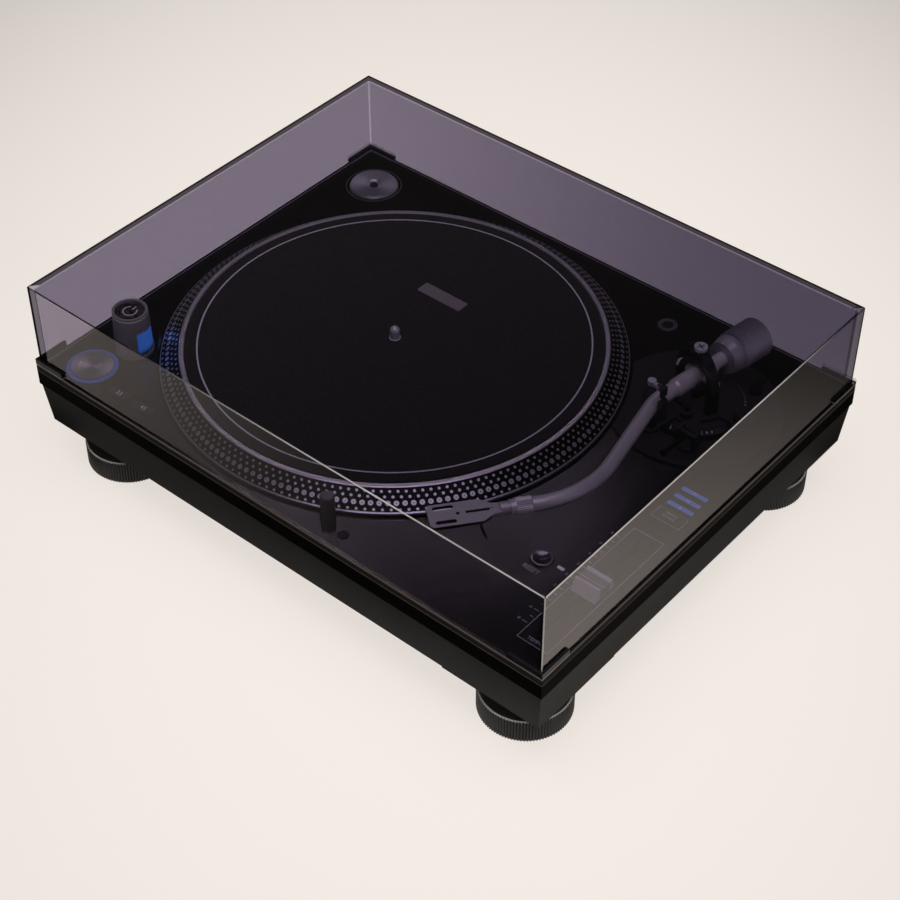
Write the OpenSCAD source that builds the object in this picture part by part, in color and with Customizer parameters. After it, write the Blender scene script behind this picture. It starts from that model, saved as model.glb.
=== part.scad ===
// Direct drive turntable with an S-shaped tonearm under a lift-off smoked cover.
// The origin is the middle of the footprint on the floor: +X right, +Y to the back, +Z up.

/* [Plinth] */
// Deck to the left of the platter's lip
margin_left = 19; // [18:0.5:30]
// Deck to the right of the platter's lip, which carries the arm
margin_right = 102; // [98:1:120]
// Deck in front of the platter's lip
margin_front = 6.5; // [6:0.5:15]
// Deck behind the platter's lip
margin_back = 14.5; // [13:0.5:25]
// Height of the base's underside above the floor
foot_h = 39; // [34:1:46]
// Height of the resin base
base_h = 33.5; // [32:0.5:40]
// Height of the cast top deck with its skirt
deck_h = 17.5; // [16:0.5:22]
// Thickness of the deck's top plate
deck_t = 6; // [5:0.5:8]
// Thickness of the deck's skirt
skirt_t = 6; // [4:0.5:8]
// Bevel round the deck's top edge
deck_bevel = 1; // [0.5:0.25:1.5]
// Step from the deck's skirt in to the base
base_step = 1; // [0.5:0.5:3]
// How far the base's sides lean in over their height
base_lean = 3; // [0:0.5:5]
// Wall and floor thickness of the base
base_t = 5; // [4:0.5:7]
// Height of the corner pads under the base
corner_pad_h = 1; // [0.5:0.5:2]
// Length of a corner pad along each side
corner_pad_l = 78; // [74:1:100]
// Thickness of the steel plate on the base's floor
steel_t = 3; // [1:0.5:4]

/* [Feet] */
// Distance from the deck's side edge to a foot's axis
foot_in_x = 41.8; // [38:0.2:60]
// Distance from the deck's front or back edge to a foot's axis
foot_in_y = 39.7; // [38:0.1:60]
// Diameter of the knurled ring
foot_d = 64; // [50:1:70]
// Height of the knurled ring
foot_ring_h = 20; // [14:1:26]
// Diameter of the neck above the ring
foot_neck_d = 50; // [30:1:56]
// Diameter of the threaded stud
foot_stud_d = 10; // [6:1:14]
// Number of flutes round the ring
foot_flutes = 96; // [48:4:120]

/* [Dust cover] */
// Height of the cover
cover_h = 67.8; // [64:0.2:90]
// Wall thickness of the cover
cover_t = 3; // [2:0.25:3.5]
// Distance from the deck's edge in to the cover's face
cover_in = 2; // [1:0.25:2.5]
// Gap between the deck and the cover's lower edge
cover_gap = 1.2; // [0.6:0.2:3]
// Length of a corner shoe along each side
shoe_l = 27; // [15:1:40]
// Height of a corner shoe
shoe_h = 5; // [3:0.5:8]

/* [Platter] */
// Diameter of the platter's outer lip
platter_d = 332; // [326:1:332]
// Width of the sloping dotted rim
rim_run = 14; // [11:0.5:15]
// Height of the lip's underside above the deck
lip_gap = 1.5; // [1:0.25:3]
// Height of the lip
lip_h = 1.5; // [1:0.25:3]
// Height of the sloping dotted rim
rim_h = 10.6; // [8:0.2:14]
// Width of the polished ring at the rim's top
ring_w = 3.5; // [2:0.25:6]
// Thickness of the platter's top
platter_t = 5; // [4:0.5:7]
// Diameter of the record spindle
spindle_d = 7.15; // [6.9:0.05:7.3]
// Height of the spindle above the platter's top
spindle_rise = 11; // [9:0.5:15]
// Diameter of the bearing shaft
shaft_d = 12; // [10:0.5:14]
// Gap between the felt slipmat's edge and the polished ring
slipmat_gap = 0.4; // [0.4:0.1:8]
// Thickness of the felt slipmat
slipmat_t = 1.5; // [1:0.25:3]

/* [Motor] */
// Diameter of the stator over its poles
stator_d = 108; // [90:1:112]
// Number of stator poles
stator_poles = 12; // [6:3:12]
// Height of the stator stack
stator_h = 7; // [5:0.5:8]
// Radial width of the rotor magnet
magnet_w = 9; // [6:0.5:12]
// Running gap between the stator and the magnet
motor_gap = 1.5; // [1:0.25:3]
// Outer diameter of the bearing housing
bearing_d = 26; // [22:1:30]

/* [Tonearm] */
// Distance from the platter's lip to the arm's pivot
pivot_gap = 49; // [46:0.5:54]
// Direction of the pivot as seen from the spindle
pivot_dir = 24; // [20:0.5:28]
// Height of the arm's axis above the deck
arm_rise = 31.5; // [30:0.5:33]
// Angle of the arm's rear half to the deck's sides at rest
arm_rest_turn = 8; // [4:0.5:12]
// Swing from the rest to the last groove
arm_swing = 36; // [20:1:40]
// Diameter of the arm tube
tube_d = 10; // [8:0.5:11]
// Distance from the pivot to the first bend
bend_start = 38; // [36:1:42]
// Angle of the first bend
bend_out = 20; // [15:1:30]
// Radius of the first bend
bend_out_r = 28; // [24:1:40]
// Straight length between the bends
bend_run = 63.5; // [50:0.5:70]
// Angle of the headshell to the arm's rear half
shell_turn = 30.5; // [28:0.5:45]
// Radius of the second bend
bend_in_r = 72; // [50:1:80]
// Diameter of the gimbal ring
gimbal_d = 29; // [28:0.5:32]
// Diameter of the bearing sleeve on the arm
sleeve_d = 13; // [12.5:0.5:15]
// Diameter of the counterweight
weight_d = 29; // [24:0.5:32]
// Length of the counterweight
weight_l = 26; // [20:1:30]
// Length of the numbered dial
dial_l = 10; // [7:0.5:12]
// Diameter of the arm's rear shaft
rear_shaft_d = 10; // [8:0.5:11]

/* [Headshell] */
// Diameter of the locking nut
nut_d = 11.6; // [11:0.2:14]
// Length of the locking nut
nut_l = 14; // [10:0.5:16]
// Diameter of the headshell's neck
neck_d = 8; // [6:0.25:8.5]
// Distance from the nut to the headshell's front edge
shell_l = 52; // [48:1:60]
// Width of the headshell's plate
shell_w = 20; // [18:0.5:24]
// Thickness of the headshell's plate
shell_t = 2.6; // [2:0.2:3.4]
// Width of the cartridge slots
slot_w = 3.2; // [2.4:0.1:3.6]
// Distance between the cartridge slots
slot_pitch = 12.7; // [12:0.1:13]

/* [Arm base] */
// Diameter of the round base plate
arm_plate_d = 121; // [112:1:124]
// Thickness of the round base plate
arm_plate_t = 2; // [1.5:0.25:3]
// Diameter of the height ring
height_ring_d = 72; // [64:1:78]
// Height of the height ring
height_ring_h = 7.3; // [6:0.1:8]
// Travel of the height adjustment
height_travel = 6; // [2:0.5:6]
// Diameter of the arm's pillar
pillar_d = 40; // [32:1:46]
// Thickness of the casting that carries the arm
carrier_t = 2.5; // [2:0.25:3]
// Diameter of the bias knob
bias_d = 18; // [14:0.5:20]
// Distance from the pivot to the bias knob
bias_reach = 41; // [40:0.5:44]
// Distance from the pivot to the arm's rest
rest_reach = 45; // [42:0.5:50]
// Length of the cueing lever
cue_l = 28; // [20:1:34]

/* [Controls] */
// Diameter of the start button
start_d = 30; // [24:0.5:31]
// Width of the light ring round the start button
light_ring_w = 3; // [2:0.25:4]
// Diameter of the strobe tower at its foot
tower_d = 28; // [24:0.5:30]
// Gap between the platter's lip and the strobe tower
tower_gap = 5.2; // [4.6:0.1:8]
// Direction of the strobe tower as seen from the spindle
tower_dir = 218.6; // [217:0.2:221]
// Height of the strobe tower with its knob
tower_h = 35; // [30:0.5:40]
// Height of the power knob on the tower
power_knob_h = 9.5; // [7:0.5:12]
// Width of a speed button
speed_w = 17; // [12:0.5:18]
// Depth of a speed button
speed_l = 8; // [6:0.25:9]
// Diameter of the single adapter
adapter_d = 38.1; // [37.5:0.1:38.5]
// Height of the single adapter
adapter_h = 9.8; // [9:0.2:12]
// Diameter of the stylus light
light_d = 10; // [8:0.25:11]
// Height of the raised stylus light above the deck
light_rise = 29; // [24:0.5:29]
// Diameter of the stylus light's button
light_button_d = 7.4; // [5:0.2:8]
// Diameter of the reset button
reset_d = 15; // [10:0.5:17]
// Width of the tempo panel
tempo_w = 25; // [22:0.5:28]
// Length of the tempo panel
tempo_l = 123; // [118:1:128]
// Travel of the tempo slider to each side
tempo_travel = 48; // [35:1:48]
// Width of the range button
range_w = 20; // [14:0.5:22]
// Depth of the range button
range_l = 9; // [6:0.25:10]
// Outer diameter of the spare headshell socket
socket_d = 12; // [11:0.5:14]
// Bore of the spare headshell socket
socket_bore_d = 8.2; // [8:0.1:8.6]

/* [Rear terminals] */
// Width of the terminal pocket
pocket_w = 150; // [130:1:160]
// Distance from the pocket's middle to the deck's middle
pocket_x = 40; // [0:1:40]
// Depth of the terminal pocket behind the panel
pocket_deep = 13; // [12:0.5:20]
// Diameter of a phono jack's barrel
jack_d = 8.3; // [8:0.1:8.5]
// Length of a phono jack's barrel
jack_l = 9.5; // [8:0.25:10]

/* [Electronics] */
// Width of the main board
board_w = 130; // [100:1:135]
// Depth of the main board
board_l = 90; // [70:1:95]
// Thickness of the main board
board_t = 1.6; // [1.2:0.2:2]
// Distance from the deck's right edge to the board's middle
board_in_x = 105; // [95:1:110]
// Distance from the deck's front edge to the board's middle
board_in_y = 100; // [98:1:106]
// Distance from the deck's left and back edges to the transformer's middle
transformer_in = 75; // [70:1:85]
// Width of the transformer's core
core_w = 62; // [50:1:66]
// Depth of the transformer's core
core_l = 44; // [36:1:48]
// Height of the transformer's core
core_h = 22; // [16:0.5:23]
// Distance from the deck's front or back edge to a chassis screw
screw_in = 17; // [15:0.5:22]
// Distance from the deck's left edge to a chassis screw
screw_left = 115; // [112:1:125]
// Distance from the deck's right edge to a chassis screw
screw_right = 75; // [70:1:80]
// Diameter of a chassis screw's shank
screw_d = 2.9; // [2.5:0.1:3.4]

/* [Fits] */
// Radial clearance of a shaft that turns in its bearing
running = 0.03; // [0.02:0.01:0.08]
// Clearance round a button or knob
button_gap = 0.35; // [0.3:0.05:0.6]
// Clearance between pieces that pass each other
pass_gap = 0.5; // [0.4:0.05:0.8]

/* [Hidden] */
$fn = 64;
bite = 0.5;

// Levels
base_z = foot_h;
split_z = base_z + base_h;
deck_z = split_z + deck_h;
plate_z = deck_z - deck_t;
cover_z = deck_z + cover_gap;
well_depth = 10;
well_z = deck_z - well_depth;
well_floor_t = 3;
well_wall = 3;
floor_z = base_z + base_t;
steel_z = floor_z + steel_t;
arm_z = deck_z + arm_rise;
lip_z = deck_z + lip_gap;
rim_z = lip_z + lip_h + rim_h;
platter_z = rim_z - 0.8;

// Edges and places on the deck
body_w = margin_left + platter_d + margin_right;
body_d = margin_front + platter_d + margin_back;
left = -body_w / 2;
right = body_w / 2;
front = -body_d / 2;
back = body_d / 2;
spindle_at = [left + margin_left, front + margin_front] + platter_d / 2 * [1, 1];
pivot_at = spindle_at + (platter_d / 2 + pivot_gap) * [cos(pivot_dir), sin(pivot_dir)];
start_at = [left + 32, front + 24];
tower_at = spindle_at + (platter_d / 2 + tower_gap + tower_d / 2) * [cos(tower_dir), sin(tower_dir)];
adapter_at = [left + 37.3, back - 37.8];
speed_33_at = [left + 68.5, front + 15.5];
speed_45_at = speed_33_at + [24, 0];
light_at = [spindle_at.x + 82.6, front + 13.5];
light_button_at = light_at + [12, 0.5];
reset_at = [right - 62.6, front + 79.5];
tempo_at = [right - 22.5, front + 79];
range_at = tempo_at + [0, tempo_l / 2 + 21.5];
range_lights_at = [for (i = [1 : 3]) range_at + [0, range_l / 2 - 1 + 8.3 * i]];
socket_at = [spindle_at.x + 129.8, back - 31.2];
feet_at = [for (y = [front + foot_in_y, back - foot_in_y], x = [left + foot_in_x, right - foot_in_x]) [x, y]];
screws_at = [for (y = [front + screw_in, back - screw_in],
                  x = [left + screw_left, right - screw_right]) [x, y]];

// Chassis screws
screw_boss_r = screw_d * 2.07;
screw_head_r = screw_d * 1.1;
screw_gap = screw_d / 12;
screw_seat = base_z + base_t + 0.5;

// Platter and motor
well_r = platter_d / 2 + 1.8;
rim_r = platter_d / 2 - rim_run;
ring_bevel = 0.6;
slipmat_r = rim_r - ring_w - ring_bevel - slipmat_gap;
hub_r = 18;
shoulder_r = spindle_d / 2 + 0.6;
hub_z = platter_z - platter_t - 8;
shaft_top = platter_z - platter_t - 1;
stator_z = well_z - well_floor_t + 1;
pole_w = 108 / stator_poles;
coil_in = bearing_d / 2 + 13;
motor_hole_r = stator_d / 2 + 1;
magnet_r = stator_d / 2 + motor_gap;
motor_plate_t = 3;
motor_plate_r = motor_hole_r + 15;
bearing_top = hub_z - 2;
shaft_foot = floor_z + steel_t + 9;

// Arm: u runs forward along the rear half, v to the outer side, from the pivot
arm_heading = 270 - arm_rest_turn;
bend_1_end = [bend_start + bend_out_r * sin(bend_out), bend_out_r * (1 - cos(bend_out))];
bend_2_start = bend_1_end + bend_run * [cos(bend_out), sin(bend_out)];
bend_2_mid = bend_2_start + bend_in_r * [sin(bend_out), -cos(bend_out)];
bend_2_end = bend_2_mid + bend_in_r * [sin(shell_turn), cos(shell_turn)];
gimbal_r = gimbal_d / 2;
gimbal_w = 8;
gimbal_bore_r = gimbal_r - 3.5;
sleeve_front = 24;
sleeve_nose = bend_start - 2;
sleeve_rear = -14;
pivot_pin_r = 2;
bearing_nut_out = 3;
arch_in = gimbal_r + bearing_nut_out + 1;
arch_t = 3.5;
arch_w = 7;
dial_front = -24;
weight_front = dial_front - dial_l;
weight_rear = weight_front - weight_l;
tail_l = 3;
tube_end = 2.6;
nut_x = tube_end + 0.4;
shell_x = nut_x + nut_l + 0.4;
plate_l = 34;
plate_x = shell_x + shell_l - plate_l;

// Arm base
arm_plate_z = deck_z + arm_plate_t;
height_ring_z = arm_plate_z + 0.2;
carrier_z = height_ring_z + height_ring_h + pass_gap;
carrier_top = carrier_z + carrier_t;
pillar_foot = deck_z - 9;
collar_r = pillar_d / 2 + 5;
collar_z = pillar_foot + 1;
rest_gap = 1.1;
rest_floor = arm_z - tube_d / 2 - rest_gap;
rest_w = 6;
rest_wall = 2.8;
rest_side = tube_d / 2 + 1.2;
clip_z = arm_z + tube_d / 2 + 2;
clip_v = rest_side + 1.6 + rest_wall / 2;
clip_pin_r = 0.8;
lift_at = 20;
lift_post_v = 10;
lift_post_r = 2;
lift_rise = 2.6;
lift_top = arm_z - sleeve_d / 2 - lift_rise - 0.7;
cue_at = [23, -43];
cue_z = carrier_top + 7;
lock_at = [23, 40];

// Feet
foot_pad_h = 1.5;
foot_ring_top = foot_pad_h + foot_ring_h;
foot_stud_top = base_z + 15;

// Controls
button_rise = 1.2;
knob_shaft_r = 4;
button_foot = plate_z + 0.6;
recess_wall = 3;
adapter_gap = 1.9;
adapter_z = deck_z + 2 - adapter_h;
tower_body_h = tower_h - power_knob_h - pass_gap;
window_in = knob_shaft_r + 1.3;
window_foot = 3;
window_h = tower_body_h - window_foot - 3;
light_foot = split_z + 3;
light_post_l = deck_z + light_rise - light_foot;
tempo_plate_t = 1.6;
fader_drop = tempo_w * 0.28;
slot_gap = 1.3;
panel_y = back - base_step - base_lean - pocket_deep;
panel_t = 2.5;
pocket_z = steel_z + 1;
pocket_h = split_z - pocket_z - 2;
jack_z = pocket_z + pocket_h / 2;
jacks_x = [pocket_x + pocket_w * 0.04, pocket_x + pocket_w * 0.19];
post_x = pocket_x + pocket_w * 0.36;
inlet_x = pocket_x - pocket_w * 0.3;
inlet_w = 24;
inlet_h = 15;

// A flat plate with round corners
module plate(w, d, h, r) {
    linear_extrude(h) {
        square([w - 2 * r, d], center = true);
        square([w, d - 2 * r], center = true);
        for (x = [-1, 1], y = [-1, 1])
            translate([x * (w / 2 - r), y * (d / 2 - r)])
                circle(r);
    }
}

// A box standing on z = 0 that leans in on all four sides as it goes down
module leaning_box(w, d, h, lean) {
    hull() {
        translate([0, 0, h - 0.01])
            linear_extrude(0.01)
                square([w, d], center = true);
        linear_extrude(0.01)
            square([w - 2 * lean, d - 2 * lean], center = true);
    }
}

// A disc with upright flutes cut round its edge
module fluted_disc(r, deep, count, h) {
    linear_extrude(h)
        polygon([for (i = [0 : 2 * count - 1])
            (r - deep * (i % 2)) * [cos(180 * i / count), sin(180 * i / count)]]);
}

// A ring standing on z = 0
module ring(outer_r, inner_r, h) {
    difference() {
        cylinder(r = outer_r, h = h);
        translate([0, 0, -bite])
            cylinder(r = inner_r, h = h + 2 * bite);
    }
}

// Puts children at a place on the deck
module on_deck(at, z = 0) {
    translate([at.x, at.y, z])
        children();
}

// Puts children in the arm's own frame: u forward, v outward, z from the arm's axis
module in_arm() {
    translate([pivot_at.x, pivot_at.y, arm_z])
        rotate([0, 0, arm_heading])
            children();
}

// Puts children at the nut's rear face, facing along the headshell
module in_shell() {
    in_arm()
        translate([bend_2_end.x, bend_2_end.y, 0])
            rotate([0, 0, -shell_turn])
                children();
}

// A rod of the given radius that runs along +X from the origin
module rod(r, l) {
    rotate([0, 90, 0])
        cylinder(r = r, h = l);
}

// Space that the platter turns in, cut from what lies round it
module platter_well(r, z) {
    on_deck(spindle_at, z)
        cylinder(r = r, h = well_depth * 3, $fn = 128);
}

// Plinth

module base_chassis() {
    boss_r = foot_stud_d / 2 + 6;
    color([0.07, 0.065, 0.065])
        difference() {
            union() {
                difference() {
                    translate([0, 0, base_z])
                        leaning_box(body_w - 2 * base_step, body_d - 2 * base_step, base_h, base_lean);
                    translate([0, 0, floor_z])
                        linear_extrude(base_h)
                            square([body_w - 2 * (base_step + base_lean + base_t),
                                    body_d - 2 * (base_step + base_lean + base_t)], center = true);
                }
                for (x = [-1, 1], y = [-1, 1])
                    translate([x * (body_w / 2 - base_step - base_lean - corner_pad_l / 2),
                               y * (body_d / 2 - base_step - base_lean - corner_pad_l / 2),
                               base_z - corner_pad_h])
                        linear_extrude(corner_pad_h)
                            square(corner_pad_l, center = true);
                for (at = feet_at)
                    on_deck(at, base_z)
                        cylinder(r = boss_r, h = foot_stud_top - base_z + 2);
                for (at = screws_at)
                    on_deck(at, base_z)
                        cylinder(r = screw_boss_r, h = base_h);
                translate([pocket_x - pocket_w / 2 - base_t, panel_y, floor_z - bite])
                    cube([pocket_w + 2 * base_t, back - base_step - base_lean - panel_y, split_z - floor_z]);
            }
            for (at = feet_at)
                on_deck(at, base_z - corner_pad_h - bite)
                    cylinder(r = foot_stud_d / 2 + running,
                             h = foot_stud_top - base_z + corner_pad_h + 2 * bite);
            for (at = screws_at) {
                on_deck(at, base_z - bite)
                    cylinder(r = screw_d / 2 + screw_gap, h = base_h + 2 * bite);
                on_deck(at, base_z - bite)
                    cylinder(r = screw_head_r + 2 * screw_gap, h = screw_seat - base_z + bite);
            }
            on_deck(light_at, steel_z)
                cylinder(r = light_d / 2 + 1, h = base_h);
            translate([pocket_x - pocket_w / 2, panel_y - bite, pocket_z])
                cube([pocket_w, pocket_deep + base_step + base_lean + 2 * bite, pocket_h]);
        }
}

module top_deck() {
    skirt_h = deck_h - deck_bevel;
    color([0.05, 0.045, 0.05])
        difference() {
            union() {
                difference() {
                    union() {
                        translate([0, 0, split_z])
                            linear_extrude(skirt_h)
                                square([body_w, body_d], center = true);
                        translate([0, 0, deck_z])
                            mirror([0, 0, 1])
                                leaning_box(body_w, body_d, deck_bevel + 0.01, deck_bevel);
                    }
                    translate([0, 0, split_z - bite])
                        linear_extrude(plate_z - split_z + bite)
                            square([body_w - 2 * skirt_t, body_d - 2 * skirt_t], center = true);
                }
                intersection() {
                    on_deck(spindle_at, well_z - well_floor_t)
                        cylinder(r = well_r + well_wall, h = deck_z - well_z, $fn = 128);
                    translate([0, 0, split_z])
                        linear_extrude(deck_h)
                            square([body_w - 2 * deck_bevel, body_d - 2 * deck_bevel], center = true);
                }
                on_deck(adapter_at, adapter_z - recess_wall)
                    cylinder(r = adapter_d / 2 + adapter_gap + recess_wall, h = deck_z - adapter_z);
                for (at = screws_at)
                    on_deck(at, split_z)
                        cylinder(r = screw_boss_r - 1, h = plate_z - split_z);
            }
            platter_well(well_r, well_z);
            on_deck(spindle_at, split_z)
                cylinder(r = motor_hole_r, h = deck_h, $fn = 128);
            on_deck(adapter_at, adapter_z - 0.2)
                cylinder(r = adapter_d / 2 + adapter_gap, h = adapter_h * 2);
            on_deck(pivot_at, split_z)
                cylinder(r = collar_r + 0.3, h = 2 * deck_h);
            on_deck(start_at, split_z)
                cylinder(r = start_d / 2 + button_gap + light_ring_w, h = 2 * deck_h);
            on_deck(light_at, split_z)
                cylinder(r = light_d / 2 + button_gap, h = 2 * deck_h);
            on_deck(light_button_at, split_z)
                cylinder(r = light_button_d / 2 + button_gap, h = 2 * deck_h);
            on_deck(reset_at, split_z)
                cylinder(r = reset_d / 2 + button_gap, h = 2 * deck_h);
            on_deck(socket_at, split_z)
                cylinder(r = socket_d / 2, h = 2 * deck_h);
            for (at = [speed_33_at, speed_45_at])
                on_deck(at, split_z)
                    plate(speed_w + 2 * button_gap, speed_l + 2 * button_gap, 2 * deck_h, 1.2);
            on_deck(range_at, split_z)
                plate(range_w + 2 * button_gap, range_l + 2 * button_gap, 2 * deck_h, 1.2);
            for (at = range_lights_at)
                on_deck(at, split_z)
                    plate(range_w, 3.6, 2 * deck_h, 0.6);
            on_deck(tempo_at, deck_z - tempo_plate_t)
                plate(tempo_w, tempo_l, deck_h, 2);
            on_deck(tempo_at, split_z)
                plate(9, tempo_l - 8, 2 * deck_h, 1);
            for (at = screws_at)
                on_deck(at, split_z - bite)
                    cylinder(r = screw_d / 2 + 0.05, h = plate_z - split_z);
        }
}

module steel_plate() {
    inner_w = body_w - 2 * (base_step + base_lean + base_t);
    inner_d = body_d - 2 * (base_step + base_lean + base_t);
    color([0.55, 0.56, 0.58])
        difference() {
            translate([0, 0, floor_z])
                linear_extrude(steel_t)
                    square([inner_w - 6, inner_d - 6], center = true);
            for (at = feet_at)
                on_deck(at, floor_z - bite)
                    cylinder(r = foot_stud_d / 2 + 8, h = steel_t + 2 * bite);
            for (at = screws_at)
                on_deck(at, floor_z - bite)
                    cylinder(r = screw_boss_r + 1, h = steel_t + 2 * bite);
            translate([pocket_x - pocket_w / 2 - base_t - 1, panel_y - 8, floor_z - bite])
                cube([pocket_w + 2 * base_t + 2, body_d, steel_t + 2 * bite]);
        }
}

module chassis_screws() {
    head_h = screw_head_r * 0.78;
    cross = screw_head_r * 0.62;
    color([0.3, 0.3, 0.32])
        for (at = screws_at) {
            on_deck(at, screw_seat)
                cylinder(r = screw_d / 2, h = split_z + screw_d * 2.4 - screw_seat);
            on_deck(at, screw_seat - head_h)
                difference() {
                    cylinder(r = screw_head_r, h = head_h);
                    for (a = [0, 90])
                        rotate([0, 0, a])
                            translate([-cross, -cross / 5, -bite])
                                cube([2 * cross, cross / 2.5, head_h * 0.4 + bite]);
                }
        }
}

// Motor and platter

module bearing_housing() {
    color([0.62, 0.6, 0.56])
        on_deck(spindle_at)
            difference() {
                union() {
                    translate([0, 0, shaft_foot - 5])
                        cylinder(r = bearing_d / 2, h = bearing_top - shaft_foot + 5);
                    translate([0, 0, well_z - well_floor_t - motor_plate_t])
                        cylinder(r = motor_plate_r, h = motor_plate_t);
                }
                translate([0, 0, shaft_foot - 0.3])
                    cylinder(r = shaft_d / 2 + running, h = bearing_top);
                for (a = [30 : 60 : 330])
                    rotate([0, 0, a])
                        translate([motor_plate_r - 5, 0, well_z - well_floor_t - motor_plate_t - bite])
                            cylinder(r = 1.7, h = motor_plate_t + 2 * bite);
            }
}

module motor_stator() {
    tip_in = stator_d / 2 - 4.2;
    tip_half = asin(pole_w / (stator_d / 2));
    outline = concat(
        [[coil_in - 2.5, -pole_w / 2], [tip_in, -pole_w / 2], [tip_in, -pole_w]],
        [for (a = [-1 : 0.5 : 1]) stator_d / 2 * [cos(a * tip_half), sin(a * tip_half)]],
        [[tip_in, pole_w], [tip_in, pole_w / 2], [coil_in - 2.5, pole_w / 2]]);
    color([0.35, 0.35, 0.37])
        on_deck(spindle_at, stator_z)
            difference() {
                union() {
                    translate([0, 0, -1])
                        cylinder(r = coil_in - 1, h = stator_h + 1);
                    translate([0, 0, 1])
                        linear_extrude(stator_h - 2)
                            polygon([for (i = [0 : stator_poles - 1], p = outline)
                                let (a = 360 * i / stator_poles)
                                    [p.x * cos(a) - p.y * sin(a), p.x * sin(a) + p.y * cos(a)]]);
                }
                translate([0, 0, -2])
                    cylinder(r = bearing_d / 2 + 0.2, h = stator_h + 4);
            }
}

module motor_coils() {
    coil_l = stator_d / 2 - 5 - coil_in;
    color([0.72, 0.38, 0.18])
        on_deck(spindle_at, stator_z)
            for (i = [0 : stator_poles - 1])
                rotate([0, 0, 360 * i / stator_poles])
                    translate([coil_in, 0, stator_h / 2])
                        rotate([90, 0, 90])
                            difference() {
                                linear_extrude(coil_l)
                                    square([pole_w + 4, stator_h + 1], center = true);
                                translate([0, 0, -bite])
                                    linear_extrude(coil_l + 2 * bite)
                                        square([pole_w + 0.2, stator_h - 1.8], center = true);
                            }
}

module spindle() {
    top_r = spindle_d / 2;
    color([0.75, 0.75, 0.77])
        on_deck(spindle_at)
            rotate_extrude()
                polygon(concat(
                    [[0, shaft_foot], [shaft_d / 2 - 1, shaft_foot], [shaft_d / 2, shaft_foot + 1],
                     [shaft_d / 2, shaft_top], [shoulder_r, shaft_top],
                     [shoulder_r, platter_z + slipmat_t], [top_r, platter_z + slipmat_t],
                     [top_r, platter_z + spindle_rise - top_r]],
                    [for (a = [15 : 15 : 90])
                        [top_r * cos(a), platter_z + spindle_rise - top_r + top_r * sin(a)]]));
}

module platter() {
    skirt_in = platter_d / 2 - 8;
    skirt_out = platter_d / 2 - 2;
    skirt_foot = well_z + 3.5;
    under_z = platter_z - platter_t;
    color([0.3, 0.29, 0.31])
        on_deck(spindle_at)
            difference() {
                rotate_extrude($fn = 128)
                    polygon([[0, hub_z], [hub_r, hub_z], [hub_r, under_z], [skirt_in - 4, under_z],
                             [skirt_in, under_z - 5], [skirt_in, skirt_foot], [skirt_out, skirt_foot],
                             [skirt_out, lip_z], [platter_d / 2, lip_z], [platter_d / 2, lip_z + lip_h],
                             [rim_r, rim_z - 0.4], [rim_r - ring_bevel, rim_z], [rim_r - ring_w, rim_z],
                             [rim_r - ring_w - ring_bevel, platter_z], [0, platter_z]]);
                translate([0, 0, hub_z - bite])
                    cylinder(r = shaft_d / 2 + 0.02, h = shaft_top - hub_z + bite);
                translate([0, 0, hub_z])
                    cylinder(r = shoulder_r + 0.02, h = platter_z);
            }
}

module rotor_magnet() {
    magnet_z = well_z + motor_gap;
    color([0.16, 0.15, 0.15])
        on_deck(spindle_at, magnet_z)
            ring(magnet_r + magnet_w, magnet_r, platter_z - platter_t - magnet_z);
}

module slipmat() {
    color([0.03, 0.03, 0.03])
        on_deck(spindle_at, platter_z)
            ring(slipmat_r, shoulder_r + button_gap, slipmat_t);
}

// Electronics and rear terminals

module main_board() {
    board_z = steel_z + board_w / 26;
    top = board_z + board_t;
    post_in = board_l / 18;
    can_r = board_l / 18;
    color([0.1, 0.3, 0.16])
        translate([right - board_in_x, front + board_in_y, 0]) {
            translate([0, 0, board_z])
                plate(board_w, board_l, board_t, board_t);
            for (x = [-1, 1], y = [-1, 1])
                translate([x * (board_w / 2 - post_in), y * (board_l / 2 - post_in), steel_z])
                    cylinder(r = post_in * 0.6, h = board_z - steel_z);
            for (i = [0 : 3])
                translate([(i / 7 - 0.35) * board_w, board_l * 0.31, top])
                    cylinder(r = can_r, h = can_r * 2.4);
            translate([-board_w * 0.38, -board_l / 3, top])
                cube([board_w * 0.46, can_r * 1.2, can_r * 2.8]);
            translate([board_w * 0.15, -board_l * 0.22, top])
                cube([can_r * 4.4, can_r * 4.4, can_r / 2]);
        }
}

module power_transformer() {
    strap_t = core_h / 11;
    winding = core_l / 11;
    color([0.45, 0.44, 0.42])
        translate([left + transformer_in, back - transformer_in, steel_z]) {
            translate([-core_w / 2, -core_l / 2, strap_t])
                cube([core_w, core_l, core_h]);
            plate(core_w * 1.42, core_l, strap_t, strap_t * 1.5);
            for (y = [-1, 1])
                translate([-core_w / 4, y * (core_l / 2 + winding) - winding, strap_t * 1.5])
                    cube([core_w / 2, 2 * winding, core_h - strap_t]);
        }
}

module terminal_panel() {
    color([0.08, 0.08, 0.085])
        difference() {
            translate([pocket_x - pocket_w / 2 - base_t, panel_y - panel_t, pocket_z - 2])
                cube([pocket_w + 2 * base_t, panel_t, pocket_h + 4]);
            for (x = jacks_x)
                translate([x, panel_y + bite, jack_z])
                    rotate([90, 0, 0])
                        cylinder(r = jack_d / 2 + 0.1, h = panel_t + 2 * bite);
            translate([post_x, panel_y + bite, jack_z])
                rotate([90, 0, 0])
                    cylinder(r = 2.1, h = panel_t + 2 * bite);
            translate([inlet_x - inlet_w / 2 - 0.1, panel_y - panel_t - bite, jack_z - inlet_h / 2 - 0.1])
                cube([inlet_w + 0.2, panel_t + 2 * bite, inlet_h + 0.2]);
        }
}

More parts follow.
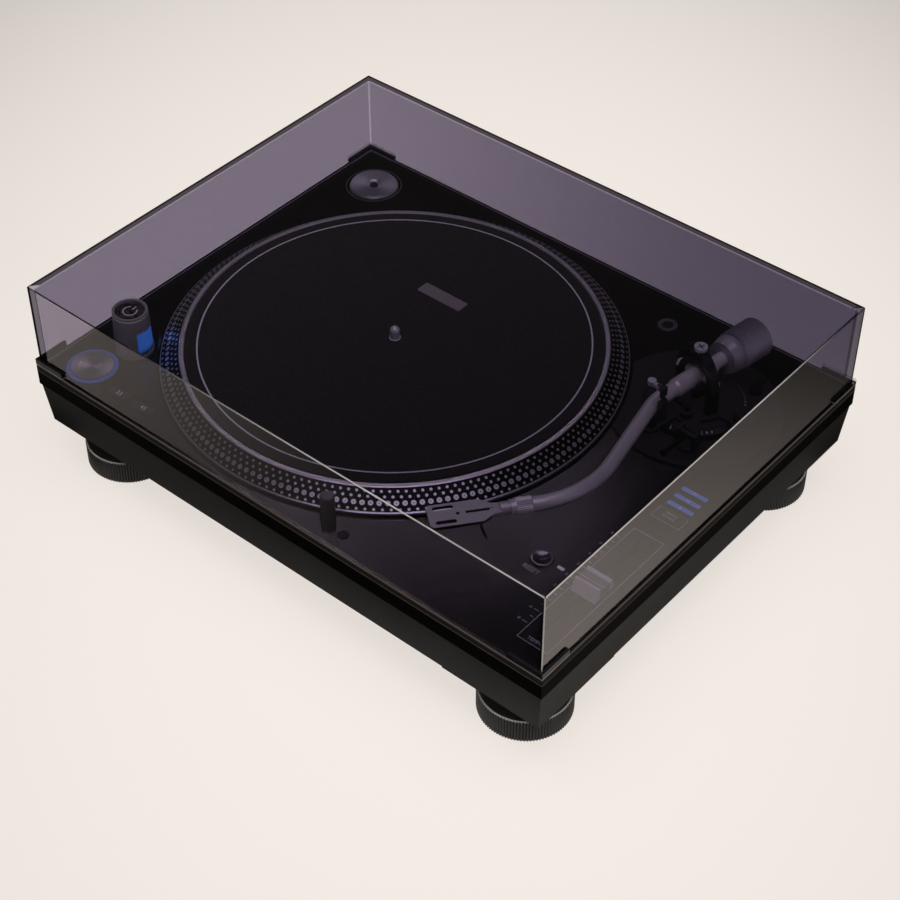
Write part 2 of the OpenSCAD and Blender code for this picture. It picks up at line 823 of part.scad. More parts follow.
module ac_inlet() {
    flange = 3;
    color([0.03, 0.03, 0.03])
        difference() {
            union() {
                translate([inlet_x - inlet_w / 2, panel_y - 18, jack_z - inlet_h / 2])
                    cube([inlet_w, 20, inlet_h]);
                translate([inlet_x - inlet_w / 2 - flange, panel_y, jack_z - inlet_h / 2 - 1.5])
                    cube([inlet_w + 2 * flange, 2, inlet_h + 3]);
            }
            translate([inlet_x - inlet_w / 2 + 2, panel_y - 14, jack_z - inlet_h / 2 + 2])
                cube([inlet_w - 4, 20, inlet_h - 4]);
        }
    color([0.8, 0.75, 0.55])
        for (x = [-1, 1])
            translate([inlet_x + 4 * x - 1, panel_y - 14, jack_z - 2])
                cube([2, 11, 4]);
}

module phono_jacks() {
    color([0.8, 0.78, 0.72])
        for (x = jacks_x)
            translate([x, panel_y - panel_t - 5, jack_z])
                rotate([-90, 0, 0])
                    difference() {
                        union() {
                            cylinder(r = jack_d / 2, h = panel_t + 5 + 1.5 + jack_l);
                            translate([0, 0, panel_t + 5])
                                cylinder(r = jack_d / 2 + 2.2, h = 1.5);
                            cylinder(r = jack_d / 2 + 1.5, h = 5);
                        }
                        translate([0, 0, 8])
                            cylinder(r = 1.7, h = 20);
                    }
}

module ground_post() {
    color([0.75, 0.72, 0.62])
        translate([post_x, panel_y - panel_t - 3, jack_z])
            rotate([-90, 0, 0]) {
                cylinder(r = 2, h = panel_t + 3 + 10);
                cylinder(r = 4, h = 3);
            }
}

module ground_nut() {
    color([0.78, 0.76, 0.68])
        translate([post_x, panel_y + 1, jack_z])
            rotate([-90, 0, 0])
                difference() {
                    fluted_disc(5.2, 0.5, 24, 6);
                    translate([0, 0, -bite])
                        cylinder(r = 2 + running, h = 6 + 2 * bite);
                }
}

// Controls on the deck

module start_light_ring() {
    color([0.25, 0.45, 0.95])
        on_deck(start_at, plate_z)
            ring(start_d / 2 + button_gap + light_ring_w, start_d / 2 + button_gap, deck_z - plate_z + 0.2);
}

module start_button() {
    dish_r = 60;
    top = deck_z + button_rise;
    color([0.5, 0.5, 0.52])
        on_deck(start_at)
            difference() {
                translate([0, 0, button_foot])
                    cylinder(r = start_d / 2, h = top - button_foot);
                translate([0, 0, top + dish_r - 0.8])
                    sphere(r = dish_r, $fn = 96);
            }
}

module key(at, w, l) {
    on_deck(at, button_foot)
        plate(w, l, deck_z + button_rise - button_foot, 1);
}

module speed_button_33() {
    color([0.12, 0.12, 0.13])
        key(speed_33_at, speed_w, speed_l);
}

module speed_button_45() {
    color([0.12, 0.12, 0.13])
        key(speed_45_at, speed_w, speed_l);
}

module range_button() {
    color([0.12, 0.12, 0.13])
        key(range_at, range_w, range_l);
}

module round_key(at, d) {
    on_deck(at, button_foot)
        rotate_extrude()
            polygon([[0, 0], [d / 2, 0], [d / 2, deck_z + button_rise - button_foot - 0.5],
                     [d / 2 - 0.5, deck_z + button_rise - button_foot],
                     [0, deck_z + button_rise - button_foot]]);
}

module reset_button() {
    dish_r = 14;
    dish_deep = 1.2;
    color([0.3, 0.3, 0.32])
        difference() {
            round_key(reset_at, reset_d);
            on_deck(reset_at, deck_z + button_rise + dish_r - dish_deep)
                sphere(r = dish_r, $fn = 96);
        }
}

module light_button() {
    color([0.2, 0.2, 0.21])
        round_key(light_button_at, light_button_d);
}

module range_lights() {
    color([0.2, 0.45, 1])
        for (at = range_lights_at)
            on_deck(at, plate_z)
                plate(range_w, 3.6, deck_z - plate_z + 0.15, 0.6);
}

module strobe_tower() {
    foot_r = tower_d / 2;
    head_r = foot_r - 0.8;
    color([0.22, 0.22, 0.24])
        on_deck(tower_at)
            difference() {
                translate([0, 0, deck_z])
                    cylinder(r1 = foot_r, r2 = head_r, h = tower_body_h);
                strobe_opening(0.1);
                translate([0, 0, deck_z + tower_body_h - 6])
                    cylinder(r = knob_shaft_r + running, h = 10);
            }
}

// The window's block, on the tower's side that faces the spindle
module strobe_opening(gap) {
    rotate([0, 0, tower_dir - 180])
        translate([window_in - gap, -tower_d, deck_z + window_foot - gap])
            cube([tower_d, 2 * tower_d, window_h + 2 * gap]);
}

module strobe_window() {
    color([0.2, 0.5, 1])
        on_deck(tower_at)
            intersection() {
                strobe_opening(0);
                translate([0, 0, deck_z])
                    cylinder(r1 = tower_d / 2 - 0.4, r2 = tower_d / 2 - 1.2, h = tower_body_h);
            }
}

module power_knob() {
    knob_r = tower_d / 2 - 0.8;
    knob_z = deck_z + tower_body_h + pass_gap;
    color([0.2, 0.2, 0.22])
        on_deck(tower_at) {
            translate([0, 0, knob_z])
                difference() {
                    cylinder(r1 = knob_r, r2 = knob_r - 0.6, h = power_knob_h);
                    translate([0, 0, power_knob_h - 1.2])
                        cylinder(r = knob_r - 2.4, h = 2);
                    translate([knob_r - 1.2, -0.6, power_knob_h - 4])
                        cube([3, 1.2, 5]);
                }
            translate([0, 0, knob_z - 5])
                cylinder(r = knob_shaft_r, h = 5.5);
        }
}

module stylus_light() {
    lens = 6;
    color([0.16, 0.16, 0.17])
        on_deck(light_at, light_foot)
            difference() {
                rotate_extrude()
                    polygon([[0, 0], [light_d / 2, 0], [light_d / 2, light_post_l - 1],
                             [light_d / 2 - 1, light_post_l], [0, light_post_l]]);
                rotate([0, 0, 70])
                    translate([light_d / 2 - 2.2, -lens / 2, light_post_l - 11])
                        cube([4, lens, 7]);
            }
}

module tempo_panel() {
    color([0.09, 0.09, 0.095])
        on_deck(tempo_at, deck_z - tempo_plate_t)
            difference() {
                plate(tempo_w, tempo_l, tempo_plate_t + 0.3, 2);
                translate([0, 0, -bite])
                    plate(2 * slot_gap + 1.6, 2 * tempo_travel + 9, tempo_plate_t + 2, 1);
            }
}

module tempo_fader() {
    color([0.5, 0.5, 0.5])
        on_deck(tempo_at, plate_z - fader_drop)
            difference() {
                plate(tempo_w / 3, tempo_l - 9, deck_z - tempo_plate_t - plate_z + fader_drop, 0.8);
                translate([0, 0, fader_drop / 3])
                    plate(2 * slot_gap + 1.6, 2 * tempo_travel + 9, 20, 0.8);
            }
}

module tempo_slider() {
    cap_z = deck_z + 0.8;
    cap_h = 9;
    cap_w = 19;
    saddle = cap_h - 2;
    color([0.45, 0.45, 0.47])
        on_deck(tempo_at) {
            difference() {
                translate([-cap_w / 2, 0, cap_z])
                    rotate([90, 0, 90])
                        linear_extrude(cap_w)
                            polygon([[-10, 0], [10, 0], [8, cap_h - 1], [6.5, cap_h - 1], [5, saddle],
                                     [-2.6, saddle], [-4.4, cap_h], [-6, cap_h]]);
                for (y = [-1.4, 1, 3.4])
                    translate([-cap_w, y - 0.35, cap_z + saddle - 0.8])
                        cube([2 * cap_w, 0.7, 3]);
            }
            translate([-0.8, -3, plate_z - 4])
                cube([1.6, 6, cap_z - plate_z + 4.2]);
        }
}

module headshell_socket() {
    color([0.5, 0.5, 0.52])
        on_deck(socket_at)
            difference() {
                union() {
                    translate([0, 0, plate_z - 8])
                        cylinder(r = socket_d / 2, h = deck_z - plate_z + 8);
                    translate([0, 0, deck_z])
                        cylinder(r = socket_d / 2 + 1.2, h = 0.8);
                }
                translate([0, 0, plate_z - 6])
                    cylinder(r = socket_bore_d / 2, h = 30);
            }
}

module single_adapter() {
    r = adapter_d / 2;
    top = adapter_z + adapter_h;
    color([0.6, 0.6, 0.62])
        on_deck(adapter_at)
            rotate_extrude()
                polygon([[spindle_d / 2 + 0.1, adapter_z], [r, adapter_z], [r, top - 1.6], [r - 1.4, top],
                         [6.5, top - 0.9], [5, top - 1.8], [spindle_d / 2 + 0.1, top - 1.8]]);
}

// Arm base

module arm_base_plate() {
    color([0.06, 0.055, 0.06])
        difference() {
            union() {
                on_deck(pivot_at, deck_z)
                    cylinder(r = arm_plate_d / 2, h = arm_plate_t, $fn = 96);
                on_deck(pivot_at, collar_z)
                    cylinder(r = collar_r, h = deck_z - collar_z + bite);
            }
            platter_well(well_r + 0.6, deck_z - bite);
            on_deck(pivot_at, collar_z - bite)
                cylinder(r = pillar_d / 2 + running, h = deck_h * 2);
        }
}

module height_ring() {
    color([0.13, 0.125, 0.135])
        on_deck(pivot_at, height_ring_z)
            difference() {
                union() {
                    fluted_disc(height_ring_d / 2, 0.6, 72, height_ring_h - 2.5);
                    translate([0, 0, height_ring_h - 2.5])
                        cylinder(r1 = height_ring_d / 2 - 0.8, r2 = height_ring_d / 2 - 3, h = 2.5);
                }
                translate([0, 0, -bite])
                    cylinder(r = pillar_d / 2 + pass_gap, h = height_ring_h + 2 * bite);
            }
}

module height_lock() {
    color([0.2, 0.2, 0.21])
        on_deck(pivot_at + lock_at, arm_plate_z) {
            cylinder(r = 5, h = 3.4);
            rotate([0, 0, 100])
                translate([0, -2.5, 0])
                    cube([14, 5, 2.4]);
        }
}

module arm_carrier() {
    cue_r = norm(cue_at);
    color([0.09, 0.085, 0.095]) {
        on_deck(pivot_at, carrier_z) {
            linear_extrude(carrier_t) {
                circle(pillar_d / 2 + 6);
                rotate(arm_heading) {
                    translate([0, -6])
                        square([rest_reach, 12]);
                    translate([rest_reach, 0])
                        circle(7);
                    translate([lift_at, lift_post_v])
                        circle(7);
                }
                translate([0, -8])
                    square([bias_reach, 16]);
                translate([bias_reach, 0])
                    circle(bias_d / 2 + 2);
                rotate(atan2(cue_at.y, cue_at.x))
                    translate([0, -6])
                        square([cue_r, 12]);
                translate(cue_at)
                    circle(8);
            }
            translate([0, 0, carrier_t])
                cylinder(r = 4, h = arm_z - gimbal_r - 0.3 - carrier_top);
            translate([cue_at.x + 5, cue_at.y - 4, carrier_t])
                cube([3, 8, cue_z - carrier_top + 4]);
            translate([cue_at.x - 8, cue_at.y - 4, carrier_t])
                cube([3, 8, cue_z - carrier_top + 4]);
        }
        on_deck(pivot_at, pillar_foot)
            cylinder(r = pillar_d / 2, h = carrier_z - pillar_foot + bite);
        in_arm()
            translate([lift_at, lift_post_v, carrier_z - arm_z])
                ring(5, lift_post_r + running, carrier_t + 5);
    }
}

module gimbal_arch() {
    leg_h = arm_z - carrier_top;
    color([0.2, 0.19, 0.21])
        translate([pivot_at.x, pivot_at.y, arm_z])
            rotate([0, 0, arm_heading - arm_swing / 2]) {
                translate([-arch_w / 2, 0, 0])
                    difference() {
                        rod(arch_in + arch_t, arch_w);
                        translate([-bite, 0, 0])
                            rod(arch_in, arch_w + 2 * bite);
                        translate([-bite, -50, -100])
                            cube([arch_w + 2 * bite, 100, 100]);
                    }
                for (s = [-1, 1])
                    translate([0, s * (arch_in + arch_t / 2), -leg_h / 2])
                        cube([arch_w + 1, arch_t + 0.8, leg_h], center = true);
                translate([0, 0, gimbal_r + 0.3])
                    difference() {
                        union() {
                            cylinder(r = 2.5, h = arch_in + arch_t - gimbal_r + 1);
                            translate([0, 0, arch_in + arch_t - gimbal_r - 0.6])
                                cylinder(r = 4.6, h = 2.4);
                        }
                        for (a = [0, 90])
                            rotate([0, 0, a])
                                translate([-3, -0.5, arch_in + arch_t - gimbal_r + 0.8])
                                    cube([6, 1, 2]);
                    }
            }
}

module bias_knob() {
    color([0.14, 0.14, 0.15])
        on_deck(pivot_at + [bias_reach, 0], carrier_top + 0.2) {
            fluted_disc(bias_d / 2, 0.5, 36, 5);
            translate([0, 0, 5])
                cylinder(r1 = bias_d / 2 - 0.8, r2 = bias_d / 2 - 2, h = 1.6);
        }
}

module cue_lever() {
    color([0.3, 0.3, 0.32])
        on_deck(pivot_at + cue_at, cue_z) {
            translate([-4.7, 0, 0])
                rod(3.4, 9.4);
            rotate([90 - 6, 0, 0])
                cylinder(r = 1.5, h = cue_l);
            rotate([90 - 6, 0, 0])
                translate([0, 0, cue_l - 7])
                    cylinder(r1 = 1.5, r2 = 2.6, h = 8);
        }
}

module lift_bar() {
    bar_w = 3;
    bar_far = lift_at + 3;
    bar_t = 2.5;
    color([0.6, 0.6, 0.6])
        in_arm() {
            translate([lift_at - bar_w / 2, -bar_far, lift_top - arm_z - bar_t])
                cube([bar_w, bar_far + lift_post_v, bar_t]);
            translate([lift_at, lift_post_v, lift_top - arm_z - bar_t])
                cylinder(r = lift_post_r + 0.8, h = bar_t);
            translate([lift_at, -bar_far, lift_top - arm_z - bar_t])
                cylinder(r = bar_w, h = bar_t + 0.9);
            translate([lift_at, lift_post_v, carrier_top - arm_z + 0.3])
                cylinder(r = lift_post_r, h = lift_top - bar_t + 0.1 - carrier_top - 0.3);
        }
}

module arm_rest() {
    color([0.1, 0.1, 0.11])
        in_arm()
            translate([rest_reach - rest_w / 2, 0, 0])
                difference() {
                    union() {
                        translate([rest_w / 2, 1, carrier_top - arm_z])
                            cylinder(r = 3.6, h = rest_floor - carrier_top - 1);
                        translate([0, -rest_side, rest_floor - arm_z - 3])
                            cube([rest_w, 2 * rest_side + rest_wall + 1.6, 3]);
                        translate([0, rest_side + 1.6, rest_floor - arm_z - 3])
                            cube([rest_w, rest_wall, clip_z - rest_floor + 2.5]);
                        translate([0, clip_v, clip_z - arm_z])
                            rod(2, rest_w);
                    }
                    translate([rest_w / 4, 0, clip_z - arm_z - 2.5])
                        cube([rest_w / 2, 20, 10]);
                    translate([-bite, clip_v, clip_z - arm_z])
                        rod(clip_pin_r + running, rest_w + 2 * bite);
                }
}

module arm_clip() {
    clip_w = rest_w / 2 - 0.7;
    clip_l = 12;
    color([0.12, 0.12, 0.13])
        in_arm()
            translate([rest_reach, clip_v, clip_z - arm_z]) {
                translate([-rest_w / 2, 0, 0])
                    rod(clip_pin_r, rest_w);
                translate([-clip_w / 2, 0, 0])
                    rod(1.9, clip_w);
                translate([-clip_w / 2, -0.8, 0])
                    cube([clip_w, 1.6, clip_l]);
                translate([-rest_w / 2, -0.8, 5])
                    cube([rest_w, 1.6, clip_l - 5]);
                translate([-rest_w / 2, -2.4, clip_l - 1.6])
                    cube([rest_w, 2.4, 1.6]);
            }
}

// Arm

module gimbal_ring() {
    color([0.25, 0.24, 0.27])
        in_arm() {
            difference() {
                translate([-gimbal_w / 2, 0, 0])
                    rod(gimbal_r, gimbal_w);
                translate([-gimbal_w / 2 - bite, 0, 0])
                    rod(gimbal_bore_r, gimbal_w + 2 * bite);
            }
            for (s = [0, 180])
                rotate([0, 0, s])
                    translate([0, gimbal_bore_r - 1, 0])
                        rotate([-90, 0, 0]) {
                            cylinder(r = pivot_pin_r, h = 4);
                            translate([0, 0, 3])
                                cylinder(r = 3.4, h = gimbal_r - gimbal_bore_r + bearing_nut_out - 2.2,
                                         $fn = 6);
                        }
        }
}

module arm_sleeve() {
    color([0.22, 0.2, 0.24])
        in_arm() {
            translate([sleeve_rear, 0, 0])
                rod(sleeve_d / 2, sleeve_front - sleeve_rear - 2);
            translate([sleeve_front - 2, 0, 0])
                rotate([0, 90, 0])
                    cylinder(r1 = sleeve_d / 2, r2 = tube_d / 2 + 0.4, h = 2);
            translate([sleeve_front - bite, 0, 0])
                rod(tube_d / 2 + 0.4, sleeve_nose - sleeve_front + bite);
            for (s = [0, 180])
                rotate([0, 0, s])
                    rotate([-90, 0, 0])
                        cylinder(r = 3, h = gimbal_bore_r - 1.3);
        }
}

module arm_tube() {
    r = tube_d / 2;
    lap = 0.5;
    over = r + 0.02;
    color([0.26, 0.24, 0.29])
        in_arm() {
            translate([sleeve_nose, 0, 0])
                rod(over, bend_start - sleeve_nose + lap);
            translate([bend_start, bend_out_r, 0])
                rotate([0, 0, -90])
                    rotate_extrude(angle = bend_out, $fn = 96)
                        translate([bend_out_r, 0])
                            circle(r, $fn = 32);
            translate([bend_1_end.x, bend_1_end.y, 0])
                rotate([0, 0, bend_out])
                    translate([-lap, 0, 0])
                        rod(over, bend_run + 2 * lap);
            translate([bend_2_mid.x, bend_2_mid.y, 0])
                rotate([0, 0, 90 - shell_turn])
                    rotate_extrude(angle = bend_out + shell_turn, $fn = 96)
                        translate([bend_in_r, 0])
                            circle(r, $fn = 32);
            translate([bend_2_end.x, bend_2_end.y, 0])
                rotate([0, 0, -shell_turn])
                    translate([-lap, 0, 0])
                        rod(over, tube_end + lap);
        }
}

module rear_shaft() {
    color([0.5, 0.5, 0.52])
        in_arm()
            translate([weight_rear - tail_l, 0, 0])
                rod(rear_shaft_d / 2, sleeve_rear - weight_rear + tail_l);
}

module counterweight() {
    color([0.24, 0.22, 0.26])
        in_arm()
            translate([weight_rear, 0, 0])
                rotate([0, 90, 0])
                    rotate_extrude()
                        polygon([[rear_shaft_d / 2 + running, 0], [weight_d / 2 - 1, 0], [weight_d / 2, 1],
                                 [weight_d / 2, weight_l * 0.62], [weight_d / 2 - 0.7, weight_l * 0.65],
                                 [weight_d / 2 - 0.7, weight_l * 0.7], [weight_d / 2, weight_l * 0.73],
                                 [weight_d / 2, weight_l - 1], [weight_d / 2 - 1, weight_l - 0.3],
                                 [rear_shaft_d / 2 + running, weight_l - 0.3]]);
}

module weight_dial() {
    color([0.3, 0.29, 0.32])
        in_arm()
            translate([weight_front, 0, 0])
                rotate([0, 90, 0])
                    rotate_extrude()
                        polygon([[rear_shaft_d / 2 + running, 0], [weight_d / 2 - 1.2, 0],
                                 [weight_d / 2 - 1.2, dial_l * 0.35], [weight_d / 2 - 2.6, dial_l],
                                 [rear_shaft_d / 2 + running, dial_l]]);
}

// Headshell: x runs forward from the tube's end, y to the outer side

module locking_nut() {
    color([0.28, 0.27, 0.3])
        in_shell()
            translate([nut_x, 0, 0])
                difference() {
                    union() {
                        rotate([0, 90, 0])
                            fluted_disc(nut_d / 2, 0.35, 30, nut_l - 4);
                        translate([nut_l - 4, 0, 0])
                            rod(nut_d / 2 - 0.6, 4);
                    }
                    translate([3, 0, 0])
                        rod(neck_d / 2 + pass_gap / 2, nut_l);
                }
}

module headshell() {
    front_x = shell_x + shell_l;
    collar_r = neck_d / 2 + 0.4;
    color([0.24, 0.22, 0.25])
        in_shell() {
            translate([nut_x + 6, 0, 0])
                rod(neck_d / 2, shell_x - nut_x - 5);
            translate([shell_x, 0, 0])
                rod(collar_r, 6);
            difference() {
                translate([0, 0, -shell_t / 2])
                    linear_extrude(shell_t)
                        polygon([[shell_x + 5, -collar_r], [plate_x - 7, -collar_r - 0.6],
                                 [plate_x, -shell_w / 2], [front_x - 2, -shell_w / 2],
                                 [front_x, -shell_w / 2 + 2], [front_x, shell_w / 2 - 2],
                                 [front_x - 2, shell_w / 2], [plate_x, shell_w / 2],
                                 [plate_x - 7, collar_r + 0.6], [shell_x + 5, collar_r]]);
                for (s = [-1, 1])
                    translate([front_x - 10.5, s * slot_pitch / 2, -shell_t])
                        plate(13.5, slot_w, 2 * shell_t, slot_w / 2 - 0.01);
                translate([front_x - 19, 0, -shell_t])
                    cylinder(r = 1.2, h = 2 * shell_t, $fn = 24);
                translate([plate_x - 8, -1.1, shell_t / 2 - 1])
                    cube([18, 2.2, 2]);
            }
            translate([shell_x + 5, -1.6, -neck_d / 2])
                cube([plate_x - shell_x - 5, 3.2, neck_d / 2]);
        }
}

module finger_lift() {
    lift_r = 36;
    strip = 1.1;
    wide = 2;
    color([0.35, 0.34, 0.37])
        in_shell()
            translate([plate_x + 1.5, shell_w / 2, -shell_t / 2])
                rotate([90, 0, 90])
                    linear_extrude(wide)
                        finger_curve(lift_r, strip);
}

// A strip that leaves level and curls up as an arc, seen along the headshell
module finger_curve(r, t) {
    sweep = 30;
    steps = 14;
    polygon(concat(
        [for (i = [0 : steps]) [r * sin(sweep * i / steps), r * (1 - cos(sweep * i / steps))]],
        [for (i = [steps : -1 : 0])
            [(r - t) * sin(sweep * i / steps), r - (r - t) * cos(sweep * i / steps)]]));
}

// Dust cover

module dust_cover() {
    w = body_w - 2 * cover_in;
    d = body_d - 2 * cover_in;
    color([0.35, 0.31, 0.38, 0.45])
        translate([0, 0, cover_z])
            difference() {
                translate([-w / 2, -d / 2, 0])
                    cube([w, d, cover_h]);
                translate([-w / 2 + cover_t, -d / 2 + cover_t, -bite])
                    cube([w - 2 * cover_t, d - 2 * cover_t, cover_h - cover_t + bite]);
            }
}

module cover_shoes() {
    inner = cover_in + cover_t;
    color([0.03, 0.03, 0.03])
        for (x = [-1, 1], y = [-1, 1])
            translate([x * body_w / 2, y * body_d / 2, deck_z])
                corner_shoe(x, y, inner);
}

// One shoe in the corner that x and y point to: a floor under the wall and a lip outside it
module corner_shoe(x, y, inner) {
    cut_in = cover_in + 1;
    difference() {
        union() {
            translate([x > 0 ? -shoe_l : 0, y > 0 ? -inner : 0, 0])
                cube([shoe_l, inner, shoe_h]);
            translate([x > 0 ? -inner : 0, y > 0 ? -shoe_l : 0, 0])
                cube([inner, shoe_l, shoe_h]);
        }
        translate([x > 0 ? -shoe_l - cut_in : cover_in, y > 0 ? -shoe_l - cut_in : cover_in, cover_gap])
            cube([shoe_l + 1, shoe_l + 1, shoe_h]);
    }
}

// Feet

module foot(at) {
    color([0.1, 0.1, 0.1])
        on_deck(at) {
            cylinder(r = foot_d / 2 - 4, h = foot_pad_h);
            translate([0, 0, foot_pad_h])
                fluted_disc(foot_d / 2, 0.9, foot_flutes, foot_ring_h - 2);
            translate([0, 0, foot_ring_top - 2])
                cylinder(r1 = foot_d / 2 - 0.6, r2 = foot_d / 2 - 2.4, h = 2);
            translate([0, 0, foot_ring_top])
                cylinder(r = foot_neck_d / 2, h = base_z - corner_pad_h - 0.3 - foot_ring_top);
            translate([0, 0, base_z - corner_pad_h - 0.3])
                cylinder(r = foot_stud_d / 2, h = foot_stud_top - base_z + corner_pad_h);
        }
}

module foot_fl() {
    foot(feet_at[0]);
}

module foot_fr() {
    foot(feet_at[1]);
}

module foot_bl() {
    foot(feet_at[2]);
}

module foot_br() {
    foot(feet_at[3]);
}

base_chassis();
top_deck();
steel_plate();
chassis_screws();
motor_stator();
motor_coils();
bearing_housing();
main_board();
power_transformer();
terminal_panel();
ac_inlet();
phono_jacks();
ground_post();
ground_nut();
strobe_tower();
strobe_window();
power_knob();
start_light_ring();
start_button();
speed_button_33();
speed_button_45();
reset_button();
range_button();
range_lights();
light_button();
stylus_light();
tempo_panel();
tempo_fader();
tempo_slider();
headshell_socket();
single_adapter();
platter();
spindle();
rotor_magnet();
slipmat();
arm_base_plate();
height_ring();
height_lock();
arm_carrier();
gimbal_arch();
bias_knob();
cue_lever();
lift_bar();
arm_rest();
arm_clip();
gimbal_ring();
arm_sleeve();
arm_tube();
rear_shaft();
counterweight();
weight_dial();
locking_nut();
headshell();
finger_lift();
dust_cover();
cover_shoes();
foot_fl();
foot_fr();
foot_bl();
foot_br();
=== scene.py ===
"""Looks for a direct drive turntable with its smoked cover on.

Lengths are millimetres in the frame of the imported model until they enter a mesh, which is in metres.
"""
from math import pi, radians

import bpy
import numpy as np
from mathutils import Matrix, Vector


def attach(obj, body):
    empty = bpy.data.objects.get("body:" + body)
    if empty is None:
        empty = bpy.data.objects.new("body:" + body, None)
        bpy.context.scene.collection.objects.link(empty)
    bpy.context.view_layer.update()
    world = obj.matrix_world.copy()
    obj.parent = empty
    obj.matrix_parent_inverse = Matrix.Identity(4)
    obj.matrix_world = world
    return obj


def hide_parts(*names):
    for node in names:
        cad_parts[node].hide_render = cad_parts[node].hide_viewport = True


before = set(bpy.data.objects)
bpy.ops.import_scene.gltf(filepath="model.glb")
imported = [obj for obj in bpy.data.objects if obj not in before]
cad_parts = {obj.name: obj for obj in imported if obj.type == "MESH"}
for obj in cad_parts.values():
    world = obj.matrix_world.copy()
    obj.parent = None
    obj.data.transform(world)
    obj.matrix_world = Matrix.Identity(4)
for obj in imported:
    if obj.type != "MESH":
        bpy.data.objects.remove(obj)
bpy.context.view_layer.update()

MM = 0.001
RIGHTWARD = np.array([1.0, 0.0, 0.0])
BACKWARD = np.array([0.0, 1.0, 0.0])
UP = np.array([0.0, 0.0, 1.0])

# Places, levels and sizes that the CAD model sets
BODY_W, BODY_D = 453.0, 353.0
DECK_Z, DECK_HALF_W, DECK_HALF_D = 90.0, 225.0, 175.0
PANEL_TOP, LIGHT_TOP, KEY_TOP, TOWER_TOP = DECK_Z + 0.3, DECK_Z + 0.15, DECK_Z + 1.2, DECK_Z + 33.8
SPINDLE = np.array([-41.5, -4.0])
TOWER_REACH, TOWER_BEARING = 185.2, radians(218.6)
TOWER = SPINDLE + TOWER_REACH * np.array([np.cos(TOWER_BEARING), np.sin(TOWER_BEARING)])
START = np.array([-194.5, -152.5])
ADAPTER = np.array([-189.2, 138.7])
SPEED_33 = np.array([-158.0, -161.0])
SPEED_45 = np.array([-134.0, -161.0])
RESET = np.array([163.9, -97.0])
TEMPO = np.array([204.0, -97.5])
RANGE = TEMPO + [0.0, 83.0]
FOOT = (184.7, 136.8)
RIM_TOP, RIM_FOOT = np.array([152.0, 103.2]), np.array([166.0, 93.0])
MAT_TOP, MAT_T, MAT_R, MAT_HOLE = 104.3, 1.5, 147.5, 4.0
PIVOT = np.array([154.912, 83.448])
ARM_Z, ARM_HEADING = 121.5, radians(262.0)
FORWARD = np.array([np.cos(ARM_HEADING), np.sin(ARM_HEADING), 0.0])
OUTWARD = np.array([-np.sin(ARM_HEADING), np.cos(ARM_HEADING), 0.0])
SHELL_NECK, SHELL_WAY, SHELL_TOP = (134.5, -104.0), (0.583, 0.8125), 122.8
JACK_X, JACK_Y, JACK_Z = {"left": 46.0, "right": 68.5}, 161.05, 59.25
COVER_IN, COVER_T = 2.0, 3.0
COVER_Z, COVER_TOP = 91.2, 159.0

# The camera's turn from the front and its tilt down
CAMERA_YAW, CAMERA_PITCH = radians(40.133), radians(42.761)


# Finishes

# Width and depth of brush lines in metal
BRUSH_GRAIN, BRUSH_DEPTH = 0.25, 0.004


def tone(red, green, blue):
    """A display colour, 0 to 255 a channel, as the linear colour that a shader takes."""
    channels = np.array([red, green, blue]) / 255.0
    linear = np.where(channels <= 0.04045, channels / 12.92, ((channels + 0.055) / 1.055) ** 2.4)
    return (*linear.tolist(), 1.0)


class Signal:
    """A node's output in one finish. Arithmetic on it adds Math nodes."""

    def __init__(self, finish, socket):
        self.finish = finish
        self.socket = socket

    def math(self, operation, first, second=0.0):
        return self.finish.node("Math", {"operation": operation}, {0: first, 1: second})

    def __add__(self, other):
        return self.math("ADD", self, other)

    __radd__ = __add__

    def __sub__(self, other):
        return self.math("SUBTRACT", self, other)

    def __rsub__(self, other):
        return self.math("SUBTRACT", other, self)

    def __mul__(self, other):
        return self.math("MULTIPLY", self, other)

    __rmul__ = __mul__

    def __truediv__(self, other):
        return self.math("DIVIDE", self, other)

    def __pow__(self, other):
        return self.math("POWER", self, other)

    def least(self, other):
        return self.math("MINIMUM", self, other)

    def cosine(self):
        return self.math("COSINE", self)

    def angle_over(self, other):
        return self.math("ARCTAN2", self, other)

    def step(self, low, high):
        """0 below low, 1 above high and a smooth rise between them."""
        return self.finish.node("MapRange", {"interpolation_type": "SMOOTHSTEP"},
                                {"Value": self, "From Min": low, "From Max": high})

    def band(self, low, high, soft):
        """1 between low and high and 0 outside, with edges that are soft wide."""
        return self.step(low - soft, low) * (1 - self.step(high, high + soft))


